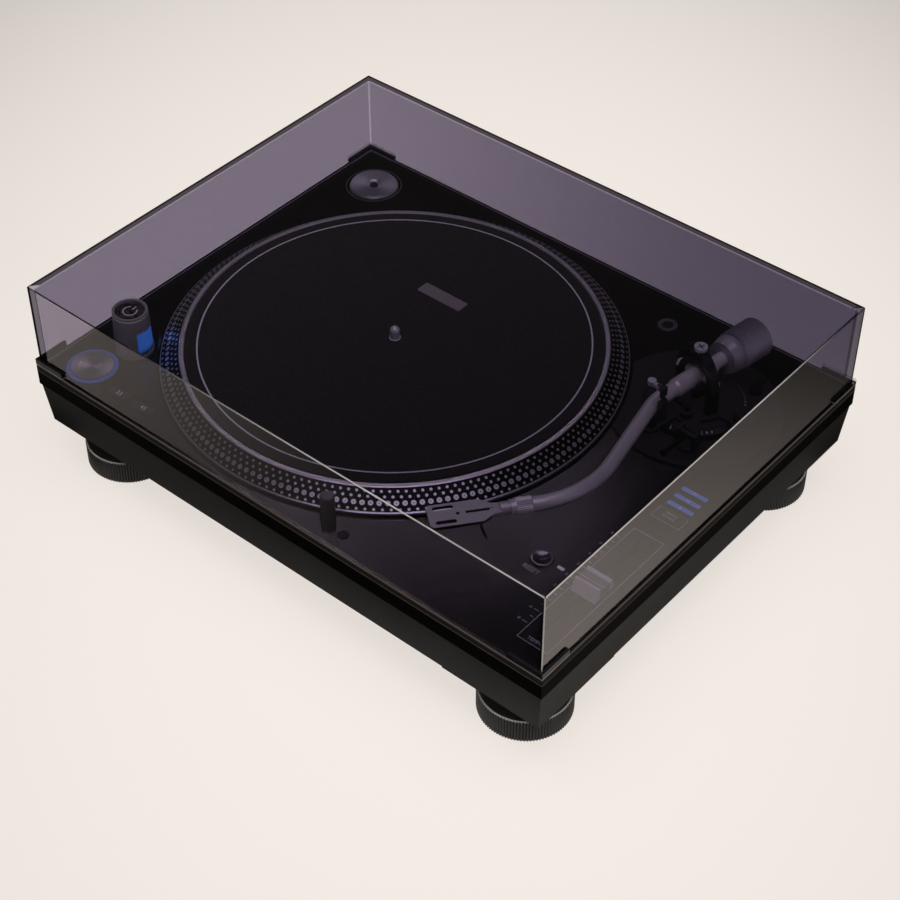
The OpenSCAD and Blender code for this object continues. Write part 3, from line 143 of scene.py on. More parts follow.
class Finish:
    """One material: a Principled shader, its fixed sockets and the nodes that feed the rest."""

    def __init__(self, name, **fixed):
        self.material = bpy.data.materials.new(name)
        self.material.use_nodes = True
        self.tree = self.material.node_tree
        self.shader = self.tree.nodes["Principled BSDF"]
        self.output = self.tree.nodes["Material Output"]
        for socket, value in fixed.items():
            self.shader.inputs[socket.replace("_", " ").title().replace("Ior", "IOR")].default_value = value

    def node(self, kind, settings, inputs, output=0):
        """Adds a node of that kind: its settings first, then values or links for its sockets."""
        made = self.tree.nodes.new("ShaderNode" + kind)
        for key, value in settings.items():
            setattr(made, key, value)
        for key, value in inputs.items():
            self.plug(made.inputs[key], value)
        return Signal(self, made.outputs[output])

    def plug(self, socket, value):
        if isinstance(value, Signal):
            self.tree.links.new(value.socket, socket)
        else:
            socket.default_value = value

    def feed(self, socket, value):
        self.plug(self.shader.inputs[socket], value)
        return self

    def mix(self, factor, first, second):
        return self.node("Mix", {"data_type": "RGBA"}, {0: factor, 6: first, 7: second}, output=2)

    def place(self):
        return self.node("TexCoord", {}, {}, output="Object")

    def axes(self):
        """The three coordinates on the object, in millimetres."""
        parts = self.node("SeparateXYZ", {}, {"Vector": self.place()}).socket.node
        return [Signal(self, socket) * 1000.0 for socket in parts.outputs]

    def radius(self, centre):
        """Distance in millimetres from an upright axis at centre."""
        x, y, _ = self.axes()
        across, along = x - float(centre[0]), y - float(centre[1])
        return (across * across + along * along) ** 0.5

    def noise(self, grain, detail=3.0, stretch=(1.0, 1.0, 1.0)):
        """Noise from 0 to 1 with features about grain millimetres wide, drawn out along the axes by stretch."""
        scaled = self.node("VectorMath", {"operation": "MULTIPLY"},
                           {0: self.place(), 1: tuple(1000.0 / grain / s for s in stretch)})
        return self.node("TexNoise", {}, {"Vector": scaled, "Scale": 1.0, "Detail": detail})

    def rings(self, radius, pitch):
        """Noise that changes only with a radius, as lathe marks pitch millimetres apart do."""
        return self.node("TexNoise", {"noise_dimensions": "1D"},
                         {"W": radius / pitch, "Scale": 1.0, "Detail": 2.0})

    def bump(self, height, depth, strength=1.0):
        """Raises the surface by height, 0 to 1, times depth millimetres."""
        return self.feed("Normal", self.node("Bump", {}, {"Strength": strength, "Distance": depth * MM,
                                                          "Height": height}))

    def shades(self, dark, light, factor):
        return self.feed("Base Color", self.mix(factor, dark, light))


def pebbled(name, roughness, grain, depth, **fixed):
    """Sprayed or moulded surface before its colour: uneven gloss and a fine pebble of grain millimetres. Gives the
    finish with its clouds and its pebble, for the colour to follow."""
    made = Finish(name, **fixed)
    clouds, pebble = made.noise(38.0, 4.0), made.noise(grain, 2.0)
    made.feed("Roughness", clouds * 0.12 + pebble * 0.12 + (roughness - 0.12))
    return made.bump(pebble, depth), clouds, pebble


def satin(name, dark, light, roughness, grain=0.5, depth=0.02, **fixed):
    """A pebbled surface in one cloudy colour."""
    made, clouds, pebble = pebbled(name, roughness, grain, depth, **fixed)
    return made.shades(dark, light, clouds * 0.6 + pebble * 0.4)


def brushed(name, roughness, stretch, **fixed):
    """Metal before its colour, with fine brush lines drawn out along one axis by stretch. Gives the finish with the
    mottle of lines and clouds that its colour follows."""
    made = Finish(name, **fixed)
    lines, clouds = made.noise(BRUSH_GRAIN, 2.0, stretch), made.noise(16.0)
    made.feed("Roughness", lines * 0.14 + clouds * 0.1 + (roughness - 0.12))
    return made.bump(lines, BRUSH_DEPTH), lines, lines * 0.65 + clouds * 0.35


def drawn_metal(name, dark, light, roughness, stretch, metallic=1.0):
    """Brushed metal in one colour; an anodised skin is less than all metallic."""
    made, _, mottle = brushed(name, roughness, stretch, metallic=metallic)
    return made.shades(dark, light, mottle)


def beside_arm(made):
    """Distance in millimetres to the outer side of the arm's middle plane, at rest."""
    x, y, _ = made.axes()
    return (x - float(PIVOT[0])) * float(OUTWARD[0]) + (y - float(PIVOT[1])) * float(OUTWARD[1])


def top_screw(made):
    """1 on the screw head over the pivot, 0 elsewhere and in its slot, which is left dark as painted shade."""
    head_r, head_z, slot_r, slot_z = 4.6, 143.2, 4.0, 145.2
    out, level = made.radius(PIVOT), made.axes()[2]
    # The slot is left dark: painted shade.
    slot = (1 - out.step(slot_r, slot_r + 0.3)) * (1 - level.step(slot_z, slot_z + 0.2))
    return (1 - out.step(head_r, head_r + 0.3)) * level.step(head_z, head_z + 0.2) * (1 - slot)


def bearing_nuts(made):
    """1 on the nuts that stand out at the two sides of the gimbal ring."""
    side = beside_arm(made)
    return ((side * side) ** 0.5).step(15.2, 15.5)


def far_end(made):
    """1 at the end of the lift bar beyond the tube and 0 at its post."""
    return 1 - beside_arm(made).step(-13.0, -9.0)


def fitted_metal(name, fittings):
    """Dark brushed metal with bright turned fittings in the places that fittings gives as 1."""
    made, lines, mottle = brushed(name, 0.34, (1.0, 1.0, 5.0))
    bright = fittings(made)
    skin = made.mix(mottle, tone(34, 31, 35), tone(66, 61, 67))
    made.feed("Base Color", made.mix(bright, skin, made.mix(lines, tone(214, 209, 208), tone(244, 239, 238))))
    return made.feed("Metallic", 1 - bright * 0.7)


def fans(turn, first):
    """Two opposite streaks of painted highlight, as turned metal shows them, from the angle round its axis. One lies
    at half of first, which is in degrees."""
    return ((turn * 2.0 - radians(first)).cosine() * 0.5 + 0.5) ** 2.0


def spun_face(name, dark, light, centre):
    """Turned metal: rings round centre, with two opposite streaks of painted highlight."""
    made = Finish(name, metallic=0.6)
    x, y, _ = made.axes()
    turn = (y - float(centre[1])).angle_over(x - float(centre[0]))
    marks = made.rings(made.radius(centre), 0.22)
    made.shades(dark, light, fans(turn, 60) * 0.6 + marks * 0.4)
    made.feed("Roughness", marks * 0.16 + 0.22)
    return made.bump(marks, 0.01)


def lit_lens(name, body, glow, strength):
    """A diffusing lens with a lamp behind it, brighter in soft patches."""
    made = Finish(name, roughness=0.25)
    patches = made.noise(6.0)
    made.feed("Base Color", body)
    made.feed("Emission Color", made.mix(patches, glow, tuple(c * 0.7 for c in glow[:3]) + (1.0,)))
    return made.feed("Emission Strength", strength)


def printed(name, colour):
    """Ink or paint laid on in a film that covers a little unevenly."""
    made = Finish(name, roughness=0.5)
    thin = made.noise(0.8, 2.0)
    faded = tuple(c * 0.76 for c in colour[:3]) + (1.0,)
    made.shades(faded, colour, thin)
    return made.bump(thin, 0.004)


def felt_finish():
    """Black felt: short fibres in two directions over a soft mottle."""
    made = Finish("felt_nap", sheen_weight=0.06, sheen_roughness=0.6)
    one = made.noise(0.45, 3.0, (3.0, 1.0, 1.0))
    two = made.noise(0.45, 3.0, (1.0, 3.0, 1.0))
    mottle = made.noise(11.0)
    nap = one * 0.5 + two * 0.5
    fleck = made.noise(1.3, 1.0).step(0.5, 0.72)
    made.shades(tone(6, 5, 4), tone(60, 50, 45), nap * 0.3 + mottle * 0.15 + fleck * 0.45)
    made.feed("Roughness", nap * 0.15 + 0.82)
    return made.bump(nap, 0.25, 0.8)


def deck_finish():
    """Black lacquer: glossy with a fine pebble on top and a pale line of painted highlight round the adapter's recess,
    dull on the sides, where a paler strip between two light edges of painted highlight runs above a black skirt
    darkened as painted shade."""
    made, clouds, pebble = pebbled("deck_black", 0.17, 0.6, 0.012, specular_ior_level=0.5)
    colour = made.mix(clouds * 0.6 + pebble * 0.4, tone(8, 6, 6), tone(14, 11, 11))
    # The pale line round the recess is a painted highlight on its edge.
    recess = made.radius(ADAPTER).band(21.2, 21.8, 0.2)
    made.feed("Base Color", made.mix(recess, colour, tone(96, 90, 92)))
    x, y, z = made.axes()
    outside = (((x * x) ** 0.5).step(DECK_HALF_W - 0.2, DECK_HALF_W + 0.2)
               + ((y * y) ** 0.5).step(DECK_HALF_D - 0.2, DECK_HALF_D + 0.2)).least(1.0)
    skirt = DECK_Z - 5.6
    # Below the skirt level, black painted shade; above it, the paler strip.
    strip = made.mix(z.step(skirt - 0.2, skirt), tone(3, 2, 2), tone(33, 29, 28))
    # Two thin lines of painted highlight: one at the strip's foot and one at the deck's top edge.
    edges = z.band(skirt, skirt + 0.5, 0.15) + z.step(DECK_Z - 1.0, DECK_Z - 0.8)
    trim = made.mix(outside, colour, made.mix(edges, strip, tone(82, 76, 72)))
    dull = made.node("BsdfPrincipled", {}, {"Base Color": trim, "Roughness": 0.6, "Specular IOR Level": 0.03})
    gloss = Signal(made, made.shader.outputs[0])
    top = z.step(DECK_Z - 0.1, DECK_Z - 0.02)
    made.plug(made.output.inputs["Surface"], made.node("MixShader", {}, {0: top, 1: dull, 2: gloss}))
    return made


def platter_finish():
    """Dark anodised casting whose top ring and lower lip are turned bright."""
    made = Finish("platter_turned")
    out = made.radius(SPINDLE)
    marks = made.rings(out, 0.3)
    clouds = made.noise(20.0)
    bright = (out.band(MAT_R + 0.5, float(RIM_TOP[0]) - 0.1, 0.1)
              + out.step(float(RIM_FOOT[0]) - 1.0, float(RIM_FOOT[0]) - 0.8)).least(1.0)
    dark_skin = made.mix(clouds, tone(22, 20, 21), tone(34, 31, 33))
    made.feed("Base Color", made.mix(bright, dark_skin, made.mix(marks, tone(214, 208, 210), tone(242, 236, 238))))
    made.feed("Metallic", 1 - bright * 0.2)
    made.feed("Roughness", marks * 0.12 + 0.3 - bright * 0.06)
    return made.bump(marks, 0.006)


def smoked_acrylic(name, mirrors):
    """Smoked sheet, paler at its left end and deeper in the back wall: each face lets its share of light through, and
    an outer face also mirrors a little at a glancing angle."""
    made = Finish(name)
    pale = made.node("BsdfTransparent", {}, {"Color": (0.7, 0.679, 0.738, 1.0)})
    deep = made.node("BsdfTransparent", {}, {"Color": (0.5, 0.478, 0.546, 1.0)})
    x, y, _ = made.axes()
    depth = x.step(-260.0, 205.0) * (y.step(168.0, 171.0) * 0.45 + 0.5)
    sheet = made.node("MixShader", {}, {0: depth, 1: pale, 2: deep})
    if mirrors:
        mirror = made.node("BsdfGlossy", {}, {"Color": (1.0, 0.93, 0.9, 1.0), "Roughness": 0.02})
        entering = 1 - made.node("NewGeometry", {}, {}, output="Backfacing")
        share = made.node("Fresnel", {}, {"IOR": 1.62})
        glance = share * share.step(0.05, 0.09) * entering
        sheet = made.node("MixShader", {}, {0: glance, 1: sheet, 2: mirror})
    made.plug(made.output.inputs["Surface"], sheet)
    return made


def edge_acrylic(name, dark, light):
    """A polished edge of the sheet, part see-through, with a painted highlight: light near the front right corner,
    dark away from it.
    """
    made = Finish(name)
    clear = made.node("BsdfTransparent", {}, {"Color": (0.5, 0.48, 0.54, 1.0)})
    streaks = made.noise(9.0)
    x, y, _ = made.axes()
    # Painted highlight, light near the front right corner and fading to dark away from it.
    colour = made.mix(x.step(-150.0, 90.0) * (1 - y.step(40.0, 160.0)), dark, light)
    solid = made.node("BsdfPrincipled", {}, {"Base Color": colour, "Roughness": 0.22})
    share = streaks * 0.2 + 0.7
    made.plug(made.output.inputs["Surface"], made.node("MixShader", {}, {0: share, 1: clear, 2: solid}))
    return made


def smoked_plastic(name, tint):
    """Glossy smoked plastic, part see-through, a little uneven in its depth of colour."""
    made = Finish(name)
    clear = made.node("BsdfTransparent", {}, {"Color": tint})
    colour = made.mix(made.noise(6.0), tone(8, 7, 7), tone(20, 18, 18))
    gloss = made.node("BsdfPrincipled", {}, {"Base Color": colour, "Roughness": 0.25})
    share = made.noise(14.0) * 0.1 + 0.01
    made.plug(made.output.inputs["Surface"], made.node("MixShader", {}, {0: share, 1: clear, 2: gloss}))
    return made


def wound_wire(name, dark, light, centre):
    """Enamelled wire wound in close turns, seen as fine ribs round the coils."""
    made = Finish(name, metallic=0.6)
    turns = (made.radius(centre) * (2 * pi / 0.55)).cosine() * 0.5 + 0.5
    made.shades(dark, light, turns * 0.7 + made.noise(4.0) * 0.3)
    made.feed("Roughness", turns * 0.2 + 0.3)
    return made.bump(turns, 0.12)


def stacked_iron(name, dark, light):
    """Iron sheets stacked in half millimetre layers."""
    made = Finish(name, metallic=0.7)
    layers = (made.axes()[2] * (2 * pi / 0.5)).cosine() * 0.5 + 0.5
    made.shades(dark, light, layers * 0.6 + made.noise(3.0) * 0.4)
    made.feed("Roughness", layers * 0.2 + 0.4)
    return made.bump(layers, 0.06)


def zinc_plate():
    """Zinc plated steel with a patchwork of crystals."""
    made = Finish("zinc_plate", metallic=1.0)
    scaled = made.node("VectorMath", {"operation": "SCALE"}, {0: made.place(), "Scale": 140.0})
    crystals = made.node("TexVoronoi", {}, {"Vector": scaled, "Scale": 1.0}, output="Color")
    grey = made.node("RGBToBW", {}, {"Color": crystals})
    made.shades(tone(140, 142, 146), tone(190, 192, 196), grey)
    return made.feed("Roughness", grey * 0.2 + 0.3)


def circuit_board():
    """Green board with paler copper tracks in two directions and dark parts above it."""
    made = Finish("circuit_board", roughness=0.4)
    x, y, z = made.axes()
    tracks = (((x * 1.3).cosine() * (y * 0.9).cosine()).step(0.35, 0.45)) * 0.8
    green = made.mix(tracks, tone(18, 70, 40), tone(60, 120, 78))
    return made.feed("Base Color", made.mix(z.step(53.8, 54.0), green, tone(24, 24, 26)))


def foot_finish():
    """Black rubbered foot: dark grooves, rib crests lighter in patches as painted highlight, and a bright line of
    painted highlight on the ring's upper edge.
    """
    made, _, _ = pebbled("foot_black", 0.5, 0.7, 0.03)
    x, y, z = made.axes()
    across, along = (x * x) ** 0.5 - FOOT[0], (y * y) ** 0.5 - FOOT[1]
    rib_foot, rib_top, edge_low, edge_high = 31.4, 31.9, 19.3, 20.1
    ribs = ((across * across + along * along) ** 0.5).step(rib_foot, rib_top)
    # Patches where the rib crests carry a painted highlight.
    highlight_patches = made.noise(2.2, 2.0).step(0.35, 0.65)
    body = made.mix(ribs * highlight_patches, tone(4, 3, 3), tone(34, 30, 27))
    # A bright line of painted highlight on the ring's upper edge.
    return made.feed("Base Color", made.mix(z.band(edge_low, edge_high, 0.15), body, tone(196, 190, 184)))


def shoe_finish():
    """Glossy black plastic with a pale line of painted highlight at its foot, nearly clear in the upper lip of the two
    back shoes.
    """
    made = Finish("shoe_smoked")
    clear = made.node("BsdfTransparent", {}, {"Color": (0.9, 0.88, 0.92, 1.0)})
    _, y, z = made.axes()
    # A pale line of painted highlight along the shoe's foot.
    line = z.band(DECK_Z, DECK_Z + 0.8, 0.1)
    lip = z.step(DECK_Z + 2.6, DECK_Z + 2.9) * y.step(-60.0, 60.0)
    colour = made.mix(line, made.mix(made.noise(6.0), tone(5, 4, 4), tone(14, 12, 12)), tone(128, 121, 118))
    gloss = made.node("BsdfPrincipled", {}, {"Base Color": colour, "Roughness": 0.3, "Specular IOR Level": 0.3})
    share = (1 - lip) * 0.86 + made.noise(14.0) * 0.08 + 0.04
    made.plug(made.output.inputs["Surface"], made.node("MixShader", {}, {0: share, 1: clear, 2: gloss}))
    return made


def shell_finish():
    """Satin metal on the headshell, with the sides and slots of its plate darkened below the top face as painted
    shade.
    """
    made, _, mottle = brushed("shell_satin", 0.38, (3.0, 3.0, 1.0), metallic=0.3)
    x, y, z = made.axes()
    along = (SHELL_NECK[0] - x) * SHELL_WAY[0] + (SHELL_NECK[1] - y) * SHELL_WAY[1]
    # The plate's sides and slots below the top face are painted shade.
    side = along.step(6.0, 7.0) * (1 - z.step(SHELL_TOP - 0.3, SHELL_TOP - 0.05))
    face = made.mix(mottle, tone(176, 169, 168), tone(222, 214, 213))
    return made.feed("Base Color", made.mix(side, face, tone(12, 11, 12)))


def weight_finish():
    """Turned metal round the arm's axis, with two streaks of painted highlight."""
    made = Finish("weight_satin", metallic=0.4)
    turn = (made.axes()[2] - ARM_Z).angle_over(beside_arm(made))
    lines = made.noise(BRUSH_GRAIN, 2.0, (6.0, 1.0, 6.0))
    made.shades(tone(126, 120, 125), tone(236, 228, 233), fans(turn, 44) * 0.8 + lines * 0.2)
    made.feed("Roughness", lines * 0.14 + 0.26)
    return made.bump(lines, BRUSH_DEPTH)


def slider_finish():
    """Brushed light metal, dusky with painted shade in the dip between the cap's two ridges."""
    made = Finish("slider_cap", metallic=0.1)
    lines = made.noise(BRUSH_GRAIN, 2.0, (6.0, 1.0, 1.0))
    saddle_shade = (made.axes()[1] - float(TEMPO[1])).band(-4.5, 5.2, 0.3)
    # The dusky colour in the dip between the ridges is painted shade.
    made.feed("Base Color", made.mix(saddle_shade, made.mix(lines, tone(228, 224, 223), tone(252, 248, 247)),
                                     made.mix(lines, tone(132, 128, 130), tone(164, 160, 162))))
    made.feed("Roughness", lines * 0.14 + 0.3)
    return made.bump(lines, BRUSH_DEPTH)


def window_finish():
    """A blue lens lit from behind, brighter in soft patches, fading to dark at its foot."""
    made = Finish("window_blue", roughness=0.25)
    lit = made.axes()[2].step(DECK_Z + 3.0, DECK_Z + 8.5)
    glow = made.mix(made.noise(6.0), tone(62, 132, 232), tone(48, 110, 205))
    made.feed("Base Color", made.mix(lit, tone(18, 19, 24), tone(60, 96, 150)))
    made.feed("Emission Color", made.mix(lit, tone(6, 8, 14), glow))
    return made.feed("Emission Strength", 0.6)


def tower_finish():
    """Grey satin with a light line of painted highlight round the top edge."""
    made, _, _ = pebbled("tower_grey", 0.36, 0.4, 0.01, metallic=0.25)
    # A light line of painted highlight round the top edge.
    edge = made.axes()[2].band(TOWER_TOP - 1.2, TOWER_TOP - 0.1, 0.2)
    grey = made.mix(made.noise(9.0), tone(138, 134, 134), tone(170, 166, 166))
    return made.feed("Base Color", made.mix(edge, grey, tone(250, 246, 245)))


FINISHES = {
    deck_finish(): ["top_deck", "tempo_panel"],
    satin("base_resin", tone(14, 11, 8), tone(24, 19, 15), 0.5, 0.8, 0.03, specular_ior_level=0.3): [
        "base_chassis"],
    satin("arm_casting", tone(17, 15, 17), tone(27, 24, 27), 0.4, 0.5, 0.012): [
        "arm_base_plate", "height_ring", "arm_carrier", "bias_knob"],
    satin("key_black", tone(26, 25, 27), tone(40, 38, 41), 0.42, 0.5, 0.015): [
        "speed_button_33", "speed_button_45", "range_button", "light_button", "arm_rest", "arm_clip"],
    satin("panel_black", tone(20, 20, 21), tone(32, 32, 33), 0.5, 0.7, 0.02): ["terminal_panel", "ac_inlet"],
    shoe_finish(): ["cover_shoes"],
    tower_finish(): ["strobe_tower", "power_knob"],
    satin("magnet_sinter", tone(30, 28, 28), tone(52, 49, 48), 0.6, 0.6, 0.05): ["rotor_magnet"],
    drawn_metal("arm_satin", tone(190, 183, 182), tone(240, 232, 230), 0.32, (1.0, 7.0, 1.0), 0.3): [
        "arm_tube", "arm_sleeve", "locking_nut", "rear_shaft"],
    shell_finish(): ["headshell"],
    drawn_metal("gimbal_dark", tone(34, 31, 35), tone(66, 61, 67), 0.34, (1.0, 1.0, 5.0)): [
        "cue_lever", "height_lock", "finger_lift"],
    drawn_metal("post_satin", tone(84, 79, 81), tone(140, 134, 136), 0.3, (1.0, 1.0, 8.0), 0.6): [
        "stylus_light", "headshell_socket"],
    fitted_metal("arch_metal", top_screw): ["gimbal_arch"],
    fitted_metal("ring_metal", bearing_nuts): ["gimbal_ring"],
    fitted_metal("lift_metal", far_end): ["lift_bar"],
    weight_finish(): ["counterweight"],
    drawn_metal("dial_satin", tone(166, 159, 162), tone(204, 196, 200), 0.34, (6.0, 1.0, 6.0), 0.35): ["weight_dial"],
    drawn_metal("shaft_steel", tone(198, 193, 196), tone(240, 235, 238), 0.3, (1.0, 6.0, 1.0), 0.3): ["spindle"],
    slider_finish(): ["tempo_slider"],
    drawn_metal("screw_black", tone(50, 49, 52), tone(90, 88, 92), 0.36, (1.0, 1.0, 3.0)): ["chassis_screws"],
    drawn_metal("bearing_turned", tone(170, 164, 152), tone(208, 202, 192), 0.34, (4.0, 4.0, 1.0)): [
        "bearing_housing"],
    drawn_metal("jack_plated", tone(196, 180, 130), tone(232, 220, 180), 0.26, (3.0, 1.0, 3.0)): [
        "phono_jacks", "ground_post", "ground_nut"],
    spun_face("adapter_spun", tone(112, 108, 114), tone(248, 244, 248), ADAPTER): ["single_adapter"],
    spun_face("start_spun", tone(84, 80, 86), tone(226, 222, 228), START): ["start_button"],
    drawn_metal("reset_chrome", tone(96, 92, 95), tone(170, 165, 168), 0.16, (1.0, 1.0, 1.0)): ["reset_button"],
    window_finish(): ["strobe_window"],
    lit_lens("ring_blue", tone(70, 84, 120), tone(70, 110, 220), 0.22): ["start_light_ring"],
    lit_lens("bar_blue", tone(70, 92, 140), tone(92, 142, 240), 0.55): ["range_lights"],
    wound_wire("coil_copper", tone(120, 58, 24), tone(206, 122, 66), SPINDLE): ["motor_coils"],
    stacked_iron("stator_iron", tone(70, 70, 74), tone(128, 128, 132)): ["motor_stator"],
    stacked_iron("core_iron", tone(96, 94, 90), tone(150, 148, 142)): ["power_transformer"],
    zinc_plate(): ["steel_plate", "tempo_fader"],
    circuit_board(): ["main_board"],
    platter_finish(): ["platter"],
    foot_finish(): ["foot_fl", "foot_fr", "foot_bl", "foot_br"],
}
for finish, nodes in FINISHES.items():
    for node in nodes:
        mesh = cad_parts[node].data
        mesh.materials.clear()
        mesh.materials.append(finish.material)

PRINT_WHITE = printed("print_white", tone(236, 231, 229))
PRINT_AND_HIGHLIGHT_GREY = printed("print_and_highlight_grey", tone(226, 221, 220))
DOT_METAL = drawn_metal("dot_metal", tone(205, 200, 202), tone(240, 235, 237), 0.34, (1.0, 1.0, 1.0), 0.75)
DOT_PIT = satin("dot_pit", tone(70, 66, 69), tone(106, 101, 104), 0.4, 0.3, 0.01)


# Shapes

# Heights of printed ink and painted marks, the width of a printed line, and a capital's share of the font's size
INK, PAINT = 0.03, 0.04
LINE_W = 0.5
CAPITAL_SHARE = 0.69


def shown(name, data):
    """An object of that name and data, linked into the scene at the origin."""
    made = bpy.data.objects.new(name, data)
    bpy.context.scene.collection.objects.link(made)
    return made


def sweep_faces(rows, columns, rows_close=True):
    """Quads over a grid of points, rows by columns, that closes round its columns."""
    row = np.arange(rows if rows_close else rows - 1)[:, None]
    column = np.arange(columns)[None, :]
    after, beside = (row + 1) % rows, (column + 1) % columns
    corners = [row * columns + column, row * columns + beside, after * columns + beside, after * columns + column]
    return np.stack(np.broadcast_arrays(*corners), axis=-1).reshape(-1, 4)


def turned_ring(profile, centre, axis=UP, across=np.array([1.0, 0.0, 0.0]), count=96):
    """A closed profile of (radius, height) pairs, counter-clockwise, carried round axis through centre."""
    profile = np.asarray(profile, float)
    angle = np.linspace(0, 2 * pi, count, endpoint=False)[:, None, None]
    side = np.cross(axis, across)
    spoke = np.cos(angle) * across + np.sin(angle) * side
    points = np.asarray(centre, float) + profile[None, :, :1] * spoke + profile[None, :, 1:] * axis
    return points.reshape(-1, 3), [sweep_faces(count, len(profile))[:, ::-1]]


def stamps(outline, depth, origins, along, across):
    """Many copies of one flat outline raised by depth: origin + x along + y across, then + depth on the normal."""
    origins, along, across = (np.atleast_2d(np.asarray(a, float)) for a in (origins, along, across))
    outline = np.asarray(outline, float)
    outlines = np.broadcast_to(outline, (len(origins), *outline.shape[-2:]))
    normal = np.cross(along, across)
    flat = origins[:, None] + outlines[..., :1] * along[:, None] + outlines[..., 1:] * across[:, None]
    points = np.concatenate([flat, flat + depth * normal[:, None]], axis=1)
    size = outlines.shape[1]
    index = np.arange(size)
    ahead = (index + 1) % size
    sides = np.stack([index, ahead, ahead + size, index + size], axis=-1)
    base = (np.arange(len(origins)) * 2 * size)[:, None]
    walls = (base[:, :, None] + sides[None]).reshape(-1, 4)
    return points.reshape(-1, 3), [walls, base + index + size, base + index[::-1]]


def bars(centres, lengths, widths, depth, along, across):
    """Flat bars, one for each centre: length along, width across, raised by depth."""
    half = np.stack(np.broadcast_arrays(np.asarray(lengths, float), np.asarray(widths, float)), axis=-1) / 2
    half = np.broadcast_to(np.atleast_2d(half), (len(np.atleast_2d(centres)), 2))
    corners = np.array([[-1, -1], [1, -1], [1, 1], [-1, 1]], float)
    return stamps(half[:, None] * corners, depth, centres, along, across)


def box_lines(centre, width, length, line, depth=INK):
    """Four flat bars on the sides of a rectangle, width by length between their middle lines."""
    x, y = width / 2, length / 2
    centres = np.asarray(centre, float) + [[-x, 0, 0], [x, 0, 0], [0, -y, 0], [0, y, 0]]
    return bars(centres, [line, line, width, width], [length, length, line, line], depth, RIGHTWARD, BACKWARD)


def spokes(angle):
    """Unit vectors at each angle round an upright axis: one outward and one along the turn."""
    outward = np.stack([np.cos(angle), np.sin(angle), 0 * angle], axis=-1)
    return outward, np.cross(UP, outward)


def disc(radius, count):
    """The outline of a disc: count points round a circle."""
    angle = np.linspace(0, 2 * pi, count, endpoint=False)
    return radius * np.stack([np.cos(angle), np.sin(angle)], axis=-1)


def soft_box(width, length, corner):
    """The outline of a rectangle with round corners: four quarter circles joined by straight sides."""
    angle = np.linspace(0, pi / 2, 5)[None, :] + np.arange(4)[:, None] * pi / 2
    sign = np.array([[1, 1], [-1, 1], [-1, -1], [1, -1]], float)
    middle = sign * (np.array([width, length]) / 2 - corner)
    return (middle[:, None] + corner * np.stack([np.cos(angle), np.sin(angle)], axis=-1)).reshape(-1, 2)


def letters(words, height, depth=INK):
    """Lettering height tall, centred on the origin: the font's outlines, filled and raised by depth."""
    curve = bpy.data.curves.new("lettering", "FONT")
    curve.body, curve.align_x, curve.align_y = words, "CENTER", "CENTER"
    curve.resolution_u = 3
    curve.extrude = depth / 2
    holder = shown("lettering", curve)
    bpy.context.view_layer.update()
    mesh = bpy.data.meshes.new_from_object(holder.evaluated_get(bpy.context.evaluated_depsgraph_get()))
    mesh.calc_loop_triangles()
    points = np.empty(len(mesh.vertices) * 3)
    mesh.vertices.foreach_get("co", points)
    faces = np.empty(len(mesh.loop_triangles) * 3, np.int32)
    mesh.loop_triangles.foreach_get("vertices", faces)
    bpy.data.objects.remove(holder)
    bpy.data.curves.remove(curve)
    bpy.data.meshes.remove(mesh)
    size = height / CAPITAL_SHARE
    return points.reshape(-1, 3) * [size, size, 1.0], [faces.reshape(-1, 3)]


def laid(shape, origin, along, across):
    """A shape drawn on a flat sheet, put at origin with its x along and its y across."""
    points, faces = shape
    axes = np.stack([along, across, np.cross(along, across)])
    return np.asarray(origin, float) + points @ axes, faces


def flat_words(words, height, at):
    """Lettering on a level face at a place, read from the front."""
    return laid(letters(words, height), np.asarray(at, float) + INK / 2 * UP, RIGHTWARD, BACKWARD)


def wrapped(shape, angle, radius, slope, start):
    """A flat shape bent round the arm's axis: x becomes an angle, y a place along the arm on a cone."""
    points, faces = shape
    place = start + points[:, 1]
    out = radius + slope * points[:, 1] + points[:, 2]
    turn = angle - points[:, 0] / radius
    ring = np.cos(turn)[:, None] * UP + np.sin(turn)[:, None] * OUTWARD
    centre = np.array([*PIVOT, ARM_Z])
    return centre + place[:, None] * FORWARD + out[:, None] * ring, faces


def joined(*shapes):
    """Several shapes as one list of points and faces."""
    counts = np.cumsum([0] + [len(points) for points, _ in shapes])
    faces = [block + start for (_, blocks), start in zip(shapes, counts) for block in blocks]
    return np.concatenate([points for points, _ in shapes]), faces


def piece(name, body, shape, finishes, pick=None, smooth=False):
    """Puts a shape into a mesh object at the origin, riding on body. pick gives each face's finish by number."""
    points, faces = shape
    mesh = bpy.data.meshes.new(name)
    mesh.from_pydata((points * MM).tolist(), [], [face for block in faces for face in block.tolist()])
    for finish in finishes if isinstance(finishes, list) else [finishes]:
        mesh.materials.append(finish.material)
    if pick is not None:
        mesh.polygons.foreach_set("material_index", np.asarray(pick, np.int32))
    mesh.polygons.foreach_set("use_smooth", np.full(len(mesh.polygons), smooth))
    mesh.update()
    made = shown(name, mesh)
    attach(made, body)
    return made


# Platter and mat

# A row of dots: its way down the rim's cone, the radius of its dots and its shift in steps round the rim
DOTS_ROUND = 180
DOT_ROWS = [(2.5, 0.98, 0.0), (6.1, 1.02, 0.4), (10.3, 1.8, 0.8), (14.6, 0.95, 0.2)]
PIT_ROWS = [(10.3, 0.42, 0.8)]
DOT_T, PIT_T = 0.12, 0.04


